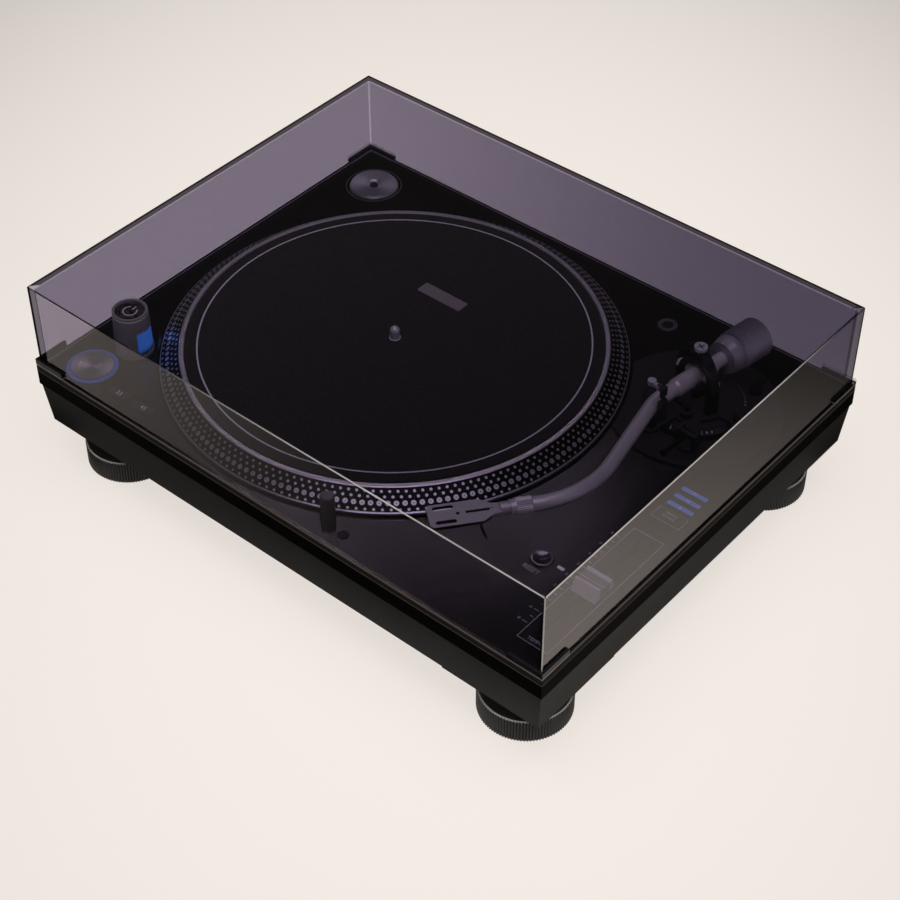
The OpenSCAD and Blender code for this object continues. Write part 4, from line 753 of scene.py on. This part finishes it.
def rim_dots(rows, level, depth):
    """Rows of discs carried round the rim's cone at even steps, each disc square to the cone and level above it."""
    fall = (RIM_FOOT - RIM_TOP) / np.linalg.norm(RIM_FOOT - RIM_TOP)
    dots = []
    for down, radius, shift in rows:
        at = RIM_TOP + fall * down
        spoke, tangent = spokes((np.arange(DOTS_ROUND) + shift) * 2 * pi / DOTS_ROUND)
        slope = spoke * fall[0] + UP * fall[1]
        origins = np.array([*SPINDLE, at[1]]) + spoke * at[0] + level * np.cross(slope, tangent)
        dots.append(stamps(disc(radius, 12), depth, origins, slope, tangent))
    return joined(*dots)


piece("rim_dots", "platter", rim_dots(DOT_ROWS, 0.0, DOT_T), DOT_METAL)
piece("dot_pits", "platter", rim_dots(PIT_ROWS, DOT_T, PIT_T), DOT_PIT)


def felt_disc():
    """A disc of felt with a hole: its section is flat below and ends in quarter rounds at the hole and the rim."""
    nose, turn = 0.9, np.linspace(0, pi / 2, 5)
    rim = np.stack([MAT_R - nose + nose * np.cos(turn), MAT_TOP - nose + nose * np.sin(turn)], axis=-1)
    hole = np.stack([MAT_HOLE + nose - nose * np.sin(turn), MAT_TOP - nose + nose * np.cos(turn)], axis=-1)
    spans = np.linspace(MAT_R - nose, MAT_HOLE + nose, 14)[1:-1]
    top = np.stack([spans, np.full(len(spans), MAT_TOP)], axis=-1)
    below = np.stack([spans[::-1], np.full(len(spans), MAT_TOP - MAT_T)], axis=-1)
    foot = np.array([[MAT_R, MAT_TOP - MAT_T]])
    start = np.array([[MAT_HOLE, MAT_TOP - MAT_T]])
    return turned_ring(np.concatenate([foot, rim, top, hole, start, below]), [*SPINDLE, 0.0], count=144)


def mat_line():
    """The ring printed near the mat's rim: a thin square section carried round the spindle."""
    inner, outer, low, high = 138.4, 139.5, MAT_TOP - 0.1, MAT_TOP + 0.04
    return turned_ring([(inner, low), (outer, low), (outer, high), (inner, high)], [*SPINDLE, 0.0], count=192)


def mat_tag():
    """A blank woven tag: a soft-cornered pad with a raised hem line inside its edge."""
    at, thick = np.array([-45.1, 52.0, MAT_TOP - 0.05]), 0.45
    pad = stamps(soft_box(39.0, 10.9, 1.2), thick, at, RIGHTWARD, BACKWARD)
    return joined(pad, box_lines(at + thick * UP, 36.6, 8.6, LINE_W, 0.06))


felt_mat = piece("felt_mat", "slipmat", felt_disc(), felt_finish(), smooth=True)
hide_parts("slipmat")
mat_ring = piece("mat_ring", "slipmat", mat_line(), printed("ring_print", tone(240, 234, 236)))
TAG_WEAVE = satin("tag_weave", tone(120, 114, 112), tone(158, 150, 146), 0.7, 0.5, 0.08)
tag = piece("mat_tag", "slipmat", mat_tag(), TAG_WEAVE)


# Deck print, a painted highlight round the range key, and controls

def tempo_print():
    """The tempo scale: a frame on the panel and a line of painted highlight round the range key's edge, ticks at even
    steps beside the panel, numbers from 8 through 0 to 8 at every second tick, and two words."""
    panel_frame = box_lines([*TEMPO, PANEL_TOP], 23.2, 121.2, LINE_W)
    # A line round the range key: a painted highlight on the key's edge.
    key_edge_highlight = box_lines([*RANGE, DECK_Z], 22.0, 11.0, 0.4)
    reach, count = 48.0, 17
    steps = np.linspace(-reach, reach, count)
    major = np.arange(count) % 2 == 0
    middles = np.stack([TEMPO[0] - np.where(major, 15.6, 14.9), TEMPO[1] + steps, np.full(count, DECK_Z)], axis=-1)
    ticks = bars(middles, np.where(major, 4.0, 2.6), LINE_W, INK, RIGHTWARD, BACKWARD)
    numbers = [flat_words(str(abs(8 - 2 * i)), 2.3, [TEMPO[0] - 20.2, TEMPO[1] + step, DECK_Z])
               for i, step in enumerate(steps[major])]
    words = [flat_words("TEMPO", 2.6, [TEMPO[0], TEMPO[1] - 57.2, PANEL_TOP]),
             flat_words("RESET", 3.4, [RESET[0], RESET[1] - 11.4, DECK_Z])]
    return joined(panel_frame, key_edge_highlight, ticks, *numbers, *words)


# The print on the deck, with the painted highlight round the range key; the grey serves both print and that highlight.
piece("deck_print_and_highlight", "plinth", tempo_print(), PRINT_AND_HIGHLIGHT_GREY)
LAMP_WHITE = lit_lens("lamp_white", tone(190, 186, 180), tone(230, 224, 214), 0.5)
piece("reset_lamp", "plinth", stamps(
    soft_box(5.0, 2.2, 0.5), 0.5, [RESET[0] + 14.2, RESET[1] + 1.2, DECK_Z - 0.1], RIGHTWARD, BACKWARD), LAMP_WHITE)
piece("print_33", "speed_button_33", flat_words("33", 3.6, [*SPEED_33, KEY_TOP]), PRINT_AND_HIGHLIGHT_GREY)
piece("print_45", "speed_button_45", flat_words("45", 3.6, [*SPEED_45, KEY_TOP]), PRINT_AND_HIGHLIGHT_GREY)
piece("range_words", "range_button", joined(*[
    flat_words(word, 2.0, [RANGE[0], RANGE[1] + y, KEY_TOP])
    for word, y in [("TEMPO", 1.7), ("RANGE", -1.7)]]), PRINT_AND_HIGHLIGHT_GREY)
piece("range_numbers", "plinth", joined(*[
    flat_words(number, 2.6, [RANGE[0], RANGE[1] + y, LIGHT_TOP])
    for number, y in [("8", 11.8), ("16", 20.1), ("50", 28.4)]]), PRINT_WHITE)
piece("slider_index", "tempo_slider", bars(
    [TEMPO[0], TEMPO[1] - 0.2, DECK_Z + 7.8], 18.6, 0.7, PAINT, RIGHTWARD, BACKWARD), PRINT_WHITE)


def power_mark():
    """The power sign on the knob: an open ring with a bar through the gap, facing the front."""
    centre, inner, outer, rise = np.array([*TOWER, TOWER_TOP]), 4.4, 5.4, 0.05 * UP
    spoke, _ = spokes(np.radians(np.linspace(-235, 55, 30)))
    loop = np.stack([centre + inner * spoke, centre + outer * spoke, centre + outer * spoke + rise,
                     centre + inner * spoke + rise], axis=1)
    ring = loop.reshape(-1, 3), [sweep_faces(*loop.shape[:2], rows_close=False)]
    stem = bars(centre + [0, 4.2, 0], 1.0, 4.6, rise[2], RIGHTWARD, BACKWARD)
    return joined(ring, stem)


piece("power_mark", "power_knob", power_mark(), PRINT_AND_HIGHLIGHT_GREY)
INLAY_T = 0.15
KNOB_DARK = satin("knob_dark", tone(16, 15, 16), tone(28, 26, 28), 0.5, 0.5, 0.02)
piece("knob_inlay", "power_knob", stamps(
    disc(10.7, 64), INLAY_T, [*TOWER, TOWER_TOP - INLAY_T], RIGHTWARD, BACKWARD), KNOB_DARK)


# Arm

def height_marks():
    """White ticks up the height ring's bevel, every six degrees over its two scales."""
    angle = np.radians(np.concatenate([np.arange(30, 97, 6), np.arange(-84, -35, 6)]))
    spoke, tangent = spokes(angle)
    fall = np.array([2.2, -2.5]) / np.hypot(2.2, 2.5)
    slope = spoke * fall[0] + UP * fall[1]
    radius, level = 34.1, 98.25
    lengths = np.where(np.arange(len(angle)) % 3 == 0, 2.6, 1.7)
    return bars(np.array([*PIVOT, level]) + spoke * radius, lengths, 0.7, PAINT, slope, tangent)


def dial_marks():
    """Twenty ticks round the weight dial's cone, every fifth one long, with the numbers 0 to 3 at the long ones."""
    radius, slope, start = 12.6, -1.4 / 6.5, -27.25
    count, edge, half_w, thick = 20, 3.0, 0.15, 0.05
    marks = []
    for i in range(count):
        foot = edge - (2.2 if i % 5 == 0 else 1.2)
        mark = [[-half_w, foot], [half_w, foot], [half_w, edge], [-half_w, edge]]
        flat = stamps(mark, thick, [0, 0, 0], RIGHTWARD, BACKWARD)
        marks.append(wrapped(flat, 2 * pi * i / count, radius, slope, start))
    numbers = [wrapped(letters(str(i), 2.4, thick), 2 * pi * i / 4, radius + 0.03, slope, start - 1.2)
               for i in range(4)]
    return joined(*marks, *numbers)


def bias_marks():
    """Thirteen ticks and three numbers on the bias knob's flat top."""
    centre, count = np.array([PIVOT[0] + 41.0, PIVOT[1], 109.1]), 13
    spoke, tangent = spokes(np.radians(np.linspace(60, -240, count)))
    lengths = np.where(np.arange(count) % 2 == 0, 1.6, 1.0)
    ticks = bars(centre + 5.9 * spoke, lengths, 0.35, PAINT, spoke, tangent)
    numbers = [flat_words(str(3 * i), 1.6, centre + 3.6 * spoke[6 * i]) for i in range(3)]
    return joined(ticks, *numbers)


piece("height_marks", "height_ring", height_marks(), PRINT_WHITE)
piece("dial_marks", "weight_dial", dial_marks(), printed("print_dark", tone(20, 18, 21)))
piece("bias_marks", "bias_knob", bias_marks(), PRINT_WHITE)
LIFT_RUBBER = satin("lift_rubber", tone(18, 17, 17), tone(34, 32, 32), 0.7, 0.4, 0.03)
piece("lift_rubber", "lift_bar", stamps(
    soft_box(2.0, 24.0, 0.9), 0.45, np.array([*PIVOT, 111.65]) + 20.0 * FORWARD - 6.0 * OUTWARD, FORWARD, OUTWARD),
    LIFT_RUBBER)


# Rear terminals

def jack_collar(side):
    """A coloured insulating collar behind a jack's flange, turned round the jack's own axis."""
    profile = [(4.25, 0.0), (7.2, 0.0), (7.6, 0.5), (7.6, 1.3), (7.1, 1.8), (4.25, 1.8)]
    return turned_ring(profile, [JACK_X[side], JACK_Y, JACK_Z], BACKWARD, RIGHTWARD, 48)


piece("jack_collar_left", "plinth", jack_collar("left"), satin(
    "collar_white", tone(196, 194, 190), tone(224, 222, 218), 0.4))
piece("jack_collar_right", "plinth", jack_collar("right"), satin(
    "collar_red", tone(150, 22, 20), tone(186, 34, 30), 0.4))


# Smoked cover

# Points in a loop round the cover, and the widths of the dark line and of the post at its corners
LOOP_POINTS = 16
CORNER_LINE, CORNER_POSTS = 1.6, np.array([[6.6], [6.6], [6.6], [8.8]])


def cover_loop(inset, corner, level):
    """Sixteen points round the cover at a level: a rectangle set in by inset, its corners cut by corner, with a point
    on the wall before each corner and one after it."""
    half = np.array([BODY_W, BODY_D]) / 2 - COVER_IN - inset
    sign = np.array([[1, -1], [1, 1], [-1, 1], [-1, -1]], float)
    before = np.array([[-1, 0], [0, -1], [1, 0], [0, 1]])
    after = np.array([[0, 1], [-1, 0], [0, -1], [1, 0]])
    steps = [before * (corner + CORNER_LINE), before * corner, after * corner, after * (corner + CORNER_POSTS)]
    flat = np.stack([sign * half + step for step in steps], axis=1).reshape(-1, 2)
    return np.concatenate([flat, np.full((LOOP_POINTS, 1), level)], axis=1)


def cover_shell():
    """Loops from the ceiling down the inside of the wall, along its foot, up the outside and over the bevelled edge to
    the band on top, joined in rings and closed at both ends."""
    bevel, joint, rim, band, foot = 0.65, 1.2, 2.4, 6.0, 1.1
    ceiling = COVER_TOP - COVER_T
    levels = [cover_loop(COVER_T, joint, ceiling), cover_loop(COVER_T, joint, ceiling - joint),
              cover_loop(COVER_T, joint, COVER_Z + foot), cover_loop(COVER_T, joint, COVER_Z),
              cover_loop(0, bevel, COVER_Z), cover_loop(0, bevel, COVER_TOP - bevel),
              cover_loop(bevel, bevel * 0.6, COVER_TOP), cover_loop(rim, bevel, COVER_TOP),
              cover_loop(band, joint, COVER_TOP)]
    walls = sweep_faces(len(levels), LOOP_POINTS, rows_close=False)
    ring = np.arange(LOOP_POINTS)
    caps = [ring[None, ::-1], (ring + LOOP_POINTS * (len(levels) - 1))[None]]
    return np.concatenate(levels), [walls, *caps]


def cover_picks():
    """Which finish each face takes: 0 sheet, 1 bright edge of painted highlight, 2 dark edge, 3 pale joint of painted
    highlight,
    4 dusky band of painted shade, 5 dusky post, 6 inside of the sheet, 7 pale foot of painted highlight. There is a
    row for each ring between two loops. It runs from the front right corner, its right side and so on round. The front
    and right top edges carry a painted highlight, the far ones are dark with painted shade, with a band of painted
    shade above the wall and a painted highlight at the joint inside it. Two corners have a dark line and a post, where
    the wall ends are thick."""
    pick = np.zeros((8, 8), int)
    pick[0] = [2, 2, 3, 3, 3, 3, 2, 2]
    pick[1, 0::2] = [2, 3, 3, 0]
    pick[2] = [0, 0, 0, 7, 7, 7, 0, 0]
    pick[4, 0::2] = [1, 2, 3, 2]
    pick[5] = [2, 1, 2, 2, 2, 2, 2, 1]
    pick[6] = [0, 0, 2, 2, 2, 2, 0, 0]
    pick[7] = [0, 0, 4, 4, 4, 4, 0, 0]
    pick = pick[:, [7, 0, 1, 1, 1, 2, 3, 3, 3, 4, 5, 5, 5, 6, 7, 7]]
    pick[4, [4, 12]] = 2
    pick[4, [6, 14]] = 5
    pick[1:3] += 6 * (pick[1:3] == 0)
    return np.concatenate([pick.ravel(), [6, 0]])


# Painted highlights on the cover's edges: a pale one at the foot of the far walls, and one on the front and right top
# edges and the front right corner.
FOOT_HIGHLIGHT = tone(214, 206, 212)
EDGE_HIGHLIGHT = edge_acrylic("edge_highlight", tone(8, 7, 8), tone(206, 199, 197))
EDGE_FOOT = edge_acrylic("edge_foot", FOOT_HIGHLIGHT, FOOT_HIGHLIGHT)
# The far top edges are dark with painted shade; the inner joint is nearly clear as a painted highlight; the band above
# the far walls is painted shade.
EDGE_DARK = smoked_plastic("edge_dark", (0.02, 0.017, 0.02, 1.0))
EDGE_JOINT_HIGHLIGHT = smoked_plastic("edge_joint_highlight", (0.98, 0.96, 1.0, 1.0))
EDGE_SHADE_BAND = smoked_plastic("edge_shade_band", (0.13, 0.117, 0.137, 1.0))
EDGE_POST = smoked_plastic("edge_post", (0.26, 0.243, 0.28, 1.0))
cover = piece("smoked_cover", "cover", cover_shell(),
              [smoked_acrylic("smoked_acrylic", True), EDGE_HIGHLIGHT, EDGE_DARK, EDGE_JOINT_HIGHLIGHT, EDGE_SHADE_BAND, EDGE_POST,
               smoked_acrylic("smoked_inside", False), EDGE_FOOT], cover_picks())
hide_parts("dust_cover")


# Studio

def lamp(name, at, aim, size, power, colour=(1.0, 1.0, 1.0)):
    """A square soft lamp at a place in metres, facing a point."""
    light = bpy.data.lights.new(name, "AREA")
    light.size, light.energy, light.color = size, power, colour
    made = shown(name, light)
    direction = np.array(aim, float) - np.array(at, float)
    made.location = at
    made.rotation_mode = "QUATERNION"
    made.rotation_quaternion = Vector(direction).to_track_quat("-Z", "Y")
    return made


def floor_finish():
    """Pale floor with painted shade that dims it softly away from the middle; the eye and mirrors see it mostly as its
    own tone.
    """
    made = Finish("studio_floor")
    x, y, _ = made.axes()
    reach, squash, fall, dimmed, darkest = 466.0, 0.68, 2.7, 0.13, 0.4
    across = x * np.cos(CAMERA_YAW) + y * np.sin(CAMERA_YAW)
    deep = (y * np.cos(CAMERA_YAW) - x * np.sin(CAMERA_YAW)) * squash
    away = ((across * across + deep * deep) ** 0.5 / reach) ** fall
    shade = (away * dimmed).least(darkest)
    colour = made.mix(shade, tone(247, 239, 232), (0.0, 0.0, 0.0, 1.0))
    rays = made.node("LightPath", {}, {}).socket.node.outputs
    seen = (Signal(made, rays["Is Camera Ray"]) + Signal(made, rays["Is Glossy Ray"])
            + Signal(made, rays["Is Transmission Ray"])).least(1.0)
    lit = made.node("BsdfDiffuse", {}, {"Color": colour})
    own = made.node("Emission", {}, {"Color": colour, "Strength": 1.0})
    made.plug(made.output.inputs["Surface"], made.node("MixShader", {}, {0: seen * 0.8, 1: lit, 2: own}))
    return made


def ground_sheet(name, corners, level, finish):
    """A level rectangle of the studio between two corners."""
    (x0, y0), (x1, y1) = corners
    mesh = bpy.data.meshes.new(name)
    points = np.array([[x0, y0, level], [x1, y0, level], [x1, y1, level], [x0, y1, level]]) * MM
    mesh.from_pydata(points.tolist(), [], [(0, 1, 2, 3)])
    mesh.materials.append(finish.material)
    made = shown(name, mesh)
    return made


ground_sheet("floor", [(-6000, -6000), (6000, 6000)], 0, floor_finish())


def dark_card(name, corners, axis, clear_end, dark_end):
    """A black cloth on the floor that only mirrors see, fading in along one axis between two places."""
    made = Finish(name)
    dark = made.axes()[axis].step(clear_end, dark_end) if clear_end < dark_end else (
        1 - made.axes()[axis].step(dark_end, clear_end))
    clear = made.node("BsdfTransparent", {}, {})
    black = made.node("BsdfDiffuse", {}, {"Color": (0.004, 0.0035, 0.0035, 1.0)})
    made.plug(made.output.inputs["Surface"], made.node("MixShader", {}, {0: dark, 1: clear, 2: black}))
    card = ground_sheet(name, corners, 1, made)
    card.visible_camera = card.visible_diffuse = card.visible_shadow = card.visible_transmission = False


dark_card("card_front", [(-900, -1400), (900, -216)], 0, -560.0, 60.0)
dark_card("card_front_near", [(-300, -215), (300, -180)], 0, 700.0, -300.0)
dark_card("card_right", [(262, -185), (1400, 1200)], 1, -180.0, 400.0)
dark_card("card_right_near", [(230, -185), (261, 400)], 1, -700.0, 60.0)
dark_card("card_left", [(-1400, -215), (-231, 1200)], 0, -1100.0, -300.0)
dark_card("card_back", [(-230, 181), (229, 1400)], 1, 1100.0, 250.0)

world = bpy.data.worlds.new("studio")
world.use_nodes = True
world.node_tree.nodes["Background"].inputs["Color"].default_value = (0.9, 0.88, 0.9, 1.0)
world.node_tree.nodes["Background"].inputs["Strength"].default_value = 0.045
bpy.context.scene.world = world

lamp("overhead", (0.35, -0.5, 3.0), (0, 0, 0), 2.6, 92.0)
key = lamp("back_left", (-0.92, 0.97, 1.54), (0.068, -0.124, 0.09), 0.7, 0.92, (1.0, 0.86, 0.96))
key.data.shape, key.data.size_y = "RECTANGLE", 0.22
key.data.use_shadow = False
key.data.cycles.use_multiple_importance_sampling = False
spared = bpy.data.collections.new("spared_by_key")
spared.objects.link(cover)
spared.collection_objects[0].light_linking.link_state = "EXCLUDE"
key.light_linking.receiver_collection = spared
lamp("right_fill", (2.2, -0.1, 1.0), (0, 0, 0.1), 1.2, 7.0)
facing = np.array([*(SPINDLE - TOWER), 0.0]) / np.linalg.norm(SPINDLE - TOWER)
window = np.array([*TOWER, DECK_Z + 10.5]) + 14.4 * facing + 17.0 * np.cross(UP, facing)
lamp("strobe_glow", (window * MM).tolist(), ((window + 30 * facing) * MM).tolist(), 0.011, 0.0005, (0.08, 0.3, 1.0))

camera_data = bpy.data.cameras.new("camera")
camera_data.lens, camera_data.sensor_width = 79.52, 36.0
camera_data.clip_end = 50.0
camera = shown("camera", camera_data)
camera.location = (0.6853, -0.8060, 0.9962)
camera.rotation_euler = (pi / 2 - CAMERA_PITCH, 0.0, CAMERA_YAW)
bpy.context.scene.camera = camera
bpy.context.scene.view_settings.view_transform = "Standard"
